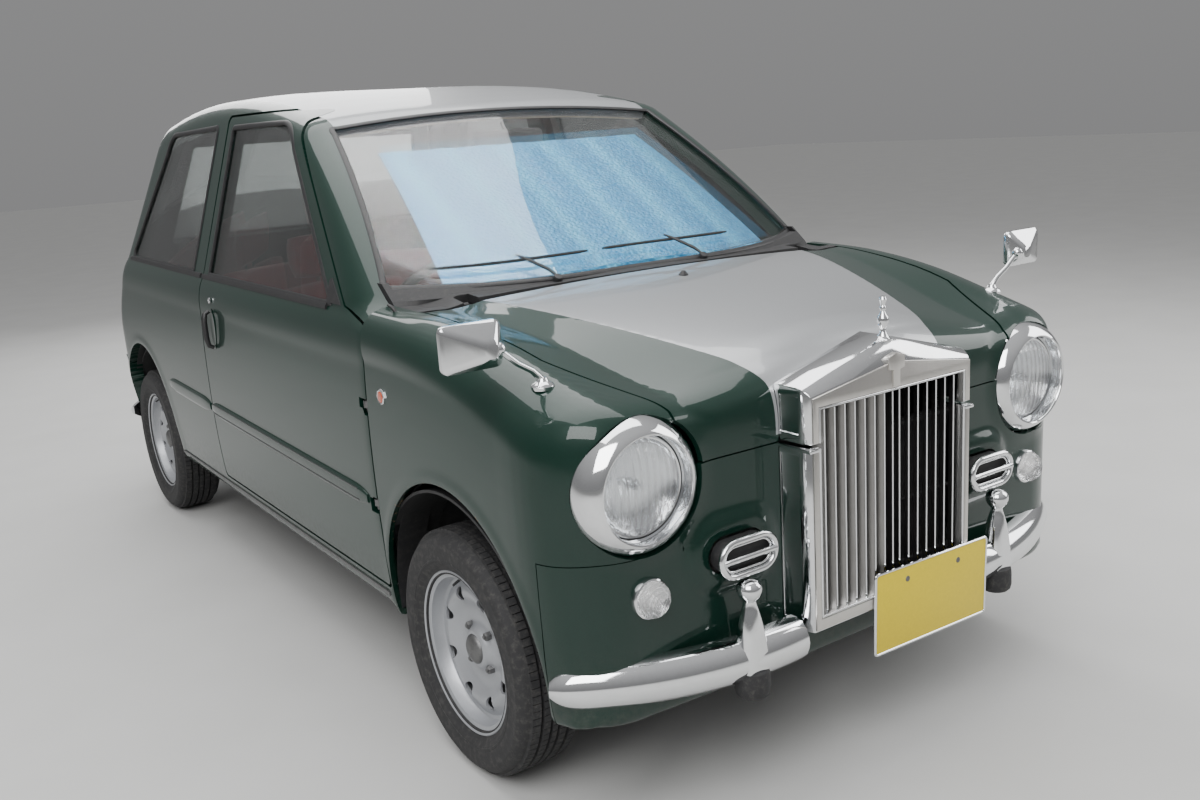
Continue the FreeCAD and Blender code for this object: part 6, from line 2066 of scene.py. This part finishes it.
    def front(self) -> None:
        """Builds the dashboard and the steering wheel."""
        kit = self.kit
        profile = path((-820, 640), (-640, 640), (-604, 690), (-586, 760), (-590, 800, -604, 832),
                       (-640, 872), (-700, 884), (-820, 884))
        board = Block(Facing.SIDE, -580, 580, profile).soft(10, 3)
        sizes = ((-700, 220, 60), (-640, 260, 76), (-600, 262, 78), (-592, 252, 66), (-600, 244, 58))
        hood = loft([[(x, y, z) for x, z in round_box((DRIVER_X, 872), w, h, 18)] for y, w, h in sizes])
        stack = crate((-92, -640, 560), (92, -588, 838)).soft(8, 3)
        tray = crate((130, -640, 690), (520, -596, 742)).soft(6, 2)
        finish_mesh(gathered(board, hood, stack, tray), "dashboard_moulding", kit.grey,
                    replaced=["dashboard"])
        knobs = [lathe([(0, 0), (13, 0), (12, 12), (0, 14)], (x, -588, 640), (0, 1, 0), 24)
                 for x in (-56, 0, 56)]
        vents = [crate((x, -592, 770), (x + 76, -584, 812)).soft(3) for x in (-86, 10, 430, -500)]
        finish_mesh(gathered(*knobs, *vents), "dashboard_controls", kit.black)
        hub, axis = Vector((DRIVER_X, -430, 800)), Vector((0, 0.9, 0.436)).normalized()
        turn = Matrix.Translation(hub * MM) @ Vector((0, 0, 1)).rotation_difference(axis).to_matrix().to_4x4()
        ring = tube([(180 * math.cos(a), 180 * math.sin(a), 0)
                     for a in np.linspace(0, math.tau, 72, endpoint=False)], 12.5, 16, True)
        spokes = [tube([(30 * c, 30 * s, -14), (90 * c, 90 * s, -10), (176 * c, 176 * s, 0)], (17, 13, 9), 14)
                  for c, s in ((math.cos(a), math.sin(a)) for a in (0.0, math.pi, math.pi * 1.5))]
        boss = lathe([(0, -34), (36, -34), (44, -22), (46, 0), (40, 9), (20, 12), (0, 13)], steps=40,
                     axis=(0, 0, 1))
        column = lathe([(0, -148), (15.5, -148), (15.5, -34), (0, -34)], steps=28, axis=(0, 0, 1))
        wheel = gathered(ring, *spokes, boss, column)
        bmesh.ops.transform(wheel, matrix=turn, verts=wheel.verts[:])
        finish_mesh(wheel, "steering_wheel_rim", kit.black, "steering_wheel", ["steering_wheel"])
        foot, top = hub + axis * -200, hub + axis * -66
        shroud = tube([foot, foot.lerp(top, 0.5), top], (34, 32, 26), 20)
        finish_mesh(shroud, "column_shroud", kit.black)

    def build(self) -> None:
        """Builds it all."""
        self.seats()
        self.visors()
        self.shade()
        self.front()


# The photograph's view, and the whole car


def camera_and_light() -> None:
    """The photograph's view, soft studio light and a plain pale floor."""
    yaw, pitch, roll, focal, picture_width = 0.59507, -0.23815, -0.06476, 1141.4, 1200
    stand = (-1.5958, -3.0028, 1.2654)
    ahead = Vector((math.sin(yaw) * math.cos(pitch), math.cos(yaw) * math.cos(pitch), math.sin(pitch)))
    right = ahead.cross(Vector((0, 0, 1))).normalized()
    up = right.cross(ahead)
    turned_right = right * math.cos(roll) + up * math.sin(roll)
    turned_up = up * math.cos(roll) - right * math.sin(roll)
    data = bpy.data.cameras.new("camera")
    data.sensor_width, data.lens = 36.0, focal / picture_width * 36
    camera = bpy.data.objects.new("camera", data)
    basis = Matrix((turned_right, turned_up, -ahead)).transposed().to_4x4()
    camera.matrix_world = Matrix.Translation(stand) @ basis
    bpy.context.scene.collection.objects.link(camera)
    bpy.context.scene.camera = camera
    lights = (("key", (-3.2, -3.6, 4.2), (0, -0.4, 0.5), 3.4, 290),
              ("fill", (4.2, -2.6, 2.6), (0, -0.3, 0.6), 3.0, 120),
              ("top", (0, 0.3, 4.6), (0, 0, 0.6), 4.4, 220),
              ("back", (1.0, 5.0, 3.2), (0, 0, 0.8), 3.0, 120))
    for name, place, aim, size, power in lights:
        lamp = bpy.data.lights.new(name, "AREA")
        lamp.shape, lamp.size, lamp.energy = "SQUARE", size, power
        light = bpy.data.objects.new(name, lamp)
        light.location = place
        light.rotation_mode = "QUATERNION"
        light.rotation_quaternion = (Vector(aim) - Vector(place)).to_track_quat("-Z", "Y")
        bpy.context.scene.collection.objects.link(light)
    world = bpy.data.worlds.new("studio")
    world.use_nodes = True
    tree = world.node_tree
    tree.nodes["Background"].inputs["Strength"].default_value = 0.62
    ramp = tree.nodes.new("ShaderNodeValToRGB")
    for element, (position, shade) in zip(
            (*ramp.color_ramp.elements, *(ramp.color_ramp.elements.new(0.5) for _ in range(2))),
            ((0.0, 0.20), (0.47, 0.12), (0.56, 0.42), (1.0, 1.0))):
        element.position, element.color = position, (shade, shade, shade * 1.01, 1)
    coordinates, split = tree.nodes.new("ShaderNodeTexCoord"), tree.nodes.new("ShaderNodeSeparateXYZ")
    half = tree.nodes.new("ShaderNodeMath")
    half.operation = "MULTIPLY_ADD"
    half.inputs[1].default_value, half.inputs[2].default_value = 0.5, 0.5
    tree.links.new(coordinates.outputs["Generated"], split.inputs[0])
    tree.links.new(split.outputs["Z"], half.inputs[0])
    tree.links.new(half.outputs[0], ramp.inputs[0])
    tree.links.new(ramp.outputs[0], tree.nodes["Background"].inputs["Color"])
    bpy.context.scene.world = world
    bm = bmesh.new()
    bmesh.ops.create_grid(bm, x_segments=8, y_segments=8, size=30.0)
    floor = bpy.data.objects.new("floor", mesh_of(bm, "floor"))
    g = Graph("floor")
    g.set(Base_Color=g.mix(g.noise(3.0, 4.0).above(0.5, 0.4), (0.49, 0.49, 0.48), (0.53, 0.53, 0.52)),
          Roughness=0.9)
    floor.data.materials.append(g.material)
    bpy.context.scene.collection.objects.link(floor)


def main() -> None:
    """Builds every piece in order."""
    logging.basicConfig(level=logging.INFO, format="%(name)s: %(message)s")
    camera_and_light()
    kit = Finishes()
    carried = {"chrome_trim": kit.chrome, "lamp_glass": kit.lens, "red_lamp": kit.red_lens,
               "window_glass": kit.window, "plate_yellow": kit.yellow, "shade_foil": kit.foil,
               "black_plastic": kit.black, "trim_cloth": kit.red_cloth, "bare_steel": kit.steel,
               "tyre_rubber": kit.rubber, "wheel_silver": kit.wheel, "body_paint": kit.green,
               "roof_paint": kit.roof, "black_paint": kit.flat}
    for row in frame["record"]["subparts"]:
        node = frame["nodes"][row["node"]]
        node.data.materials.clear()
        node.data.materials.append(carried[row["material_slot"]].material)
    shell = BodyShell(kit)
    shell.build()
    RadiatorShell(kit).build()
    lamps = Lamps(kit)
    for build in (lamps.headlamps, lamps.turn_lamps, lamps.inlets):
        build()
    bumpers = Bumpers(kit)
    for build in (bumpers.build, bumpers.plate, bumpers.mirrors):
        build()
    trim = Trim(kit, shell.cabin)
    for build in (trim.mouldings, trim.hinges, trim.fittings):
        build()
    Wheels(kit).build()
    Cabin(kit).build()
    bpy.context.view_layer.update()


if __name__ == "__main__":
    main()
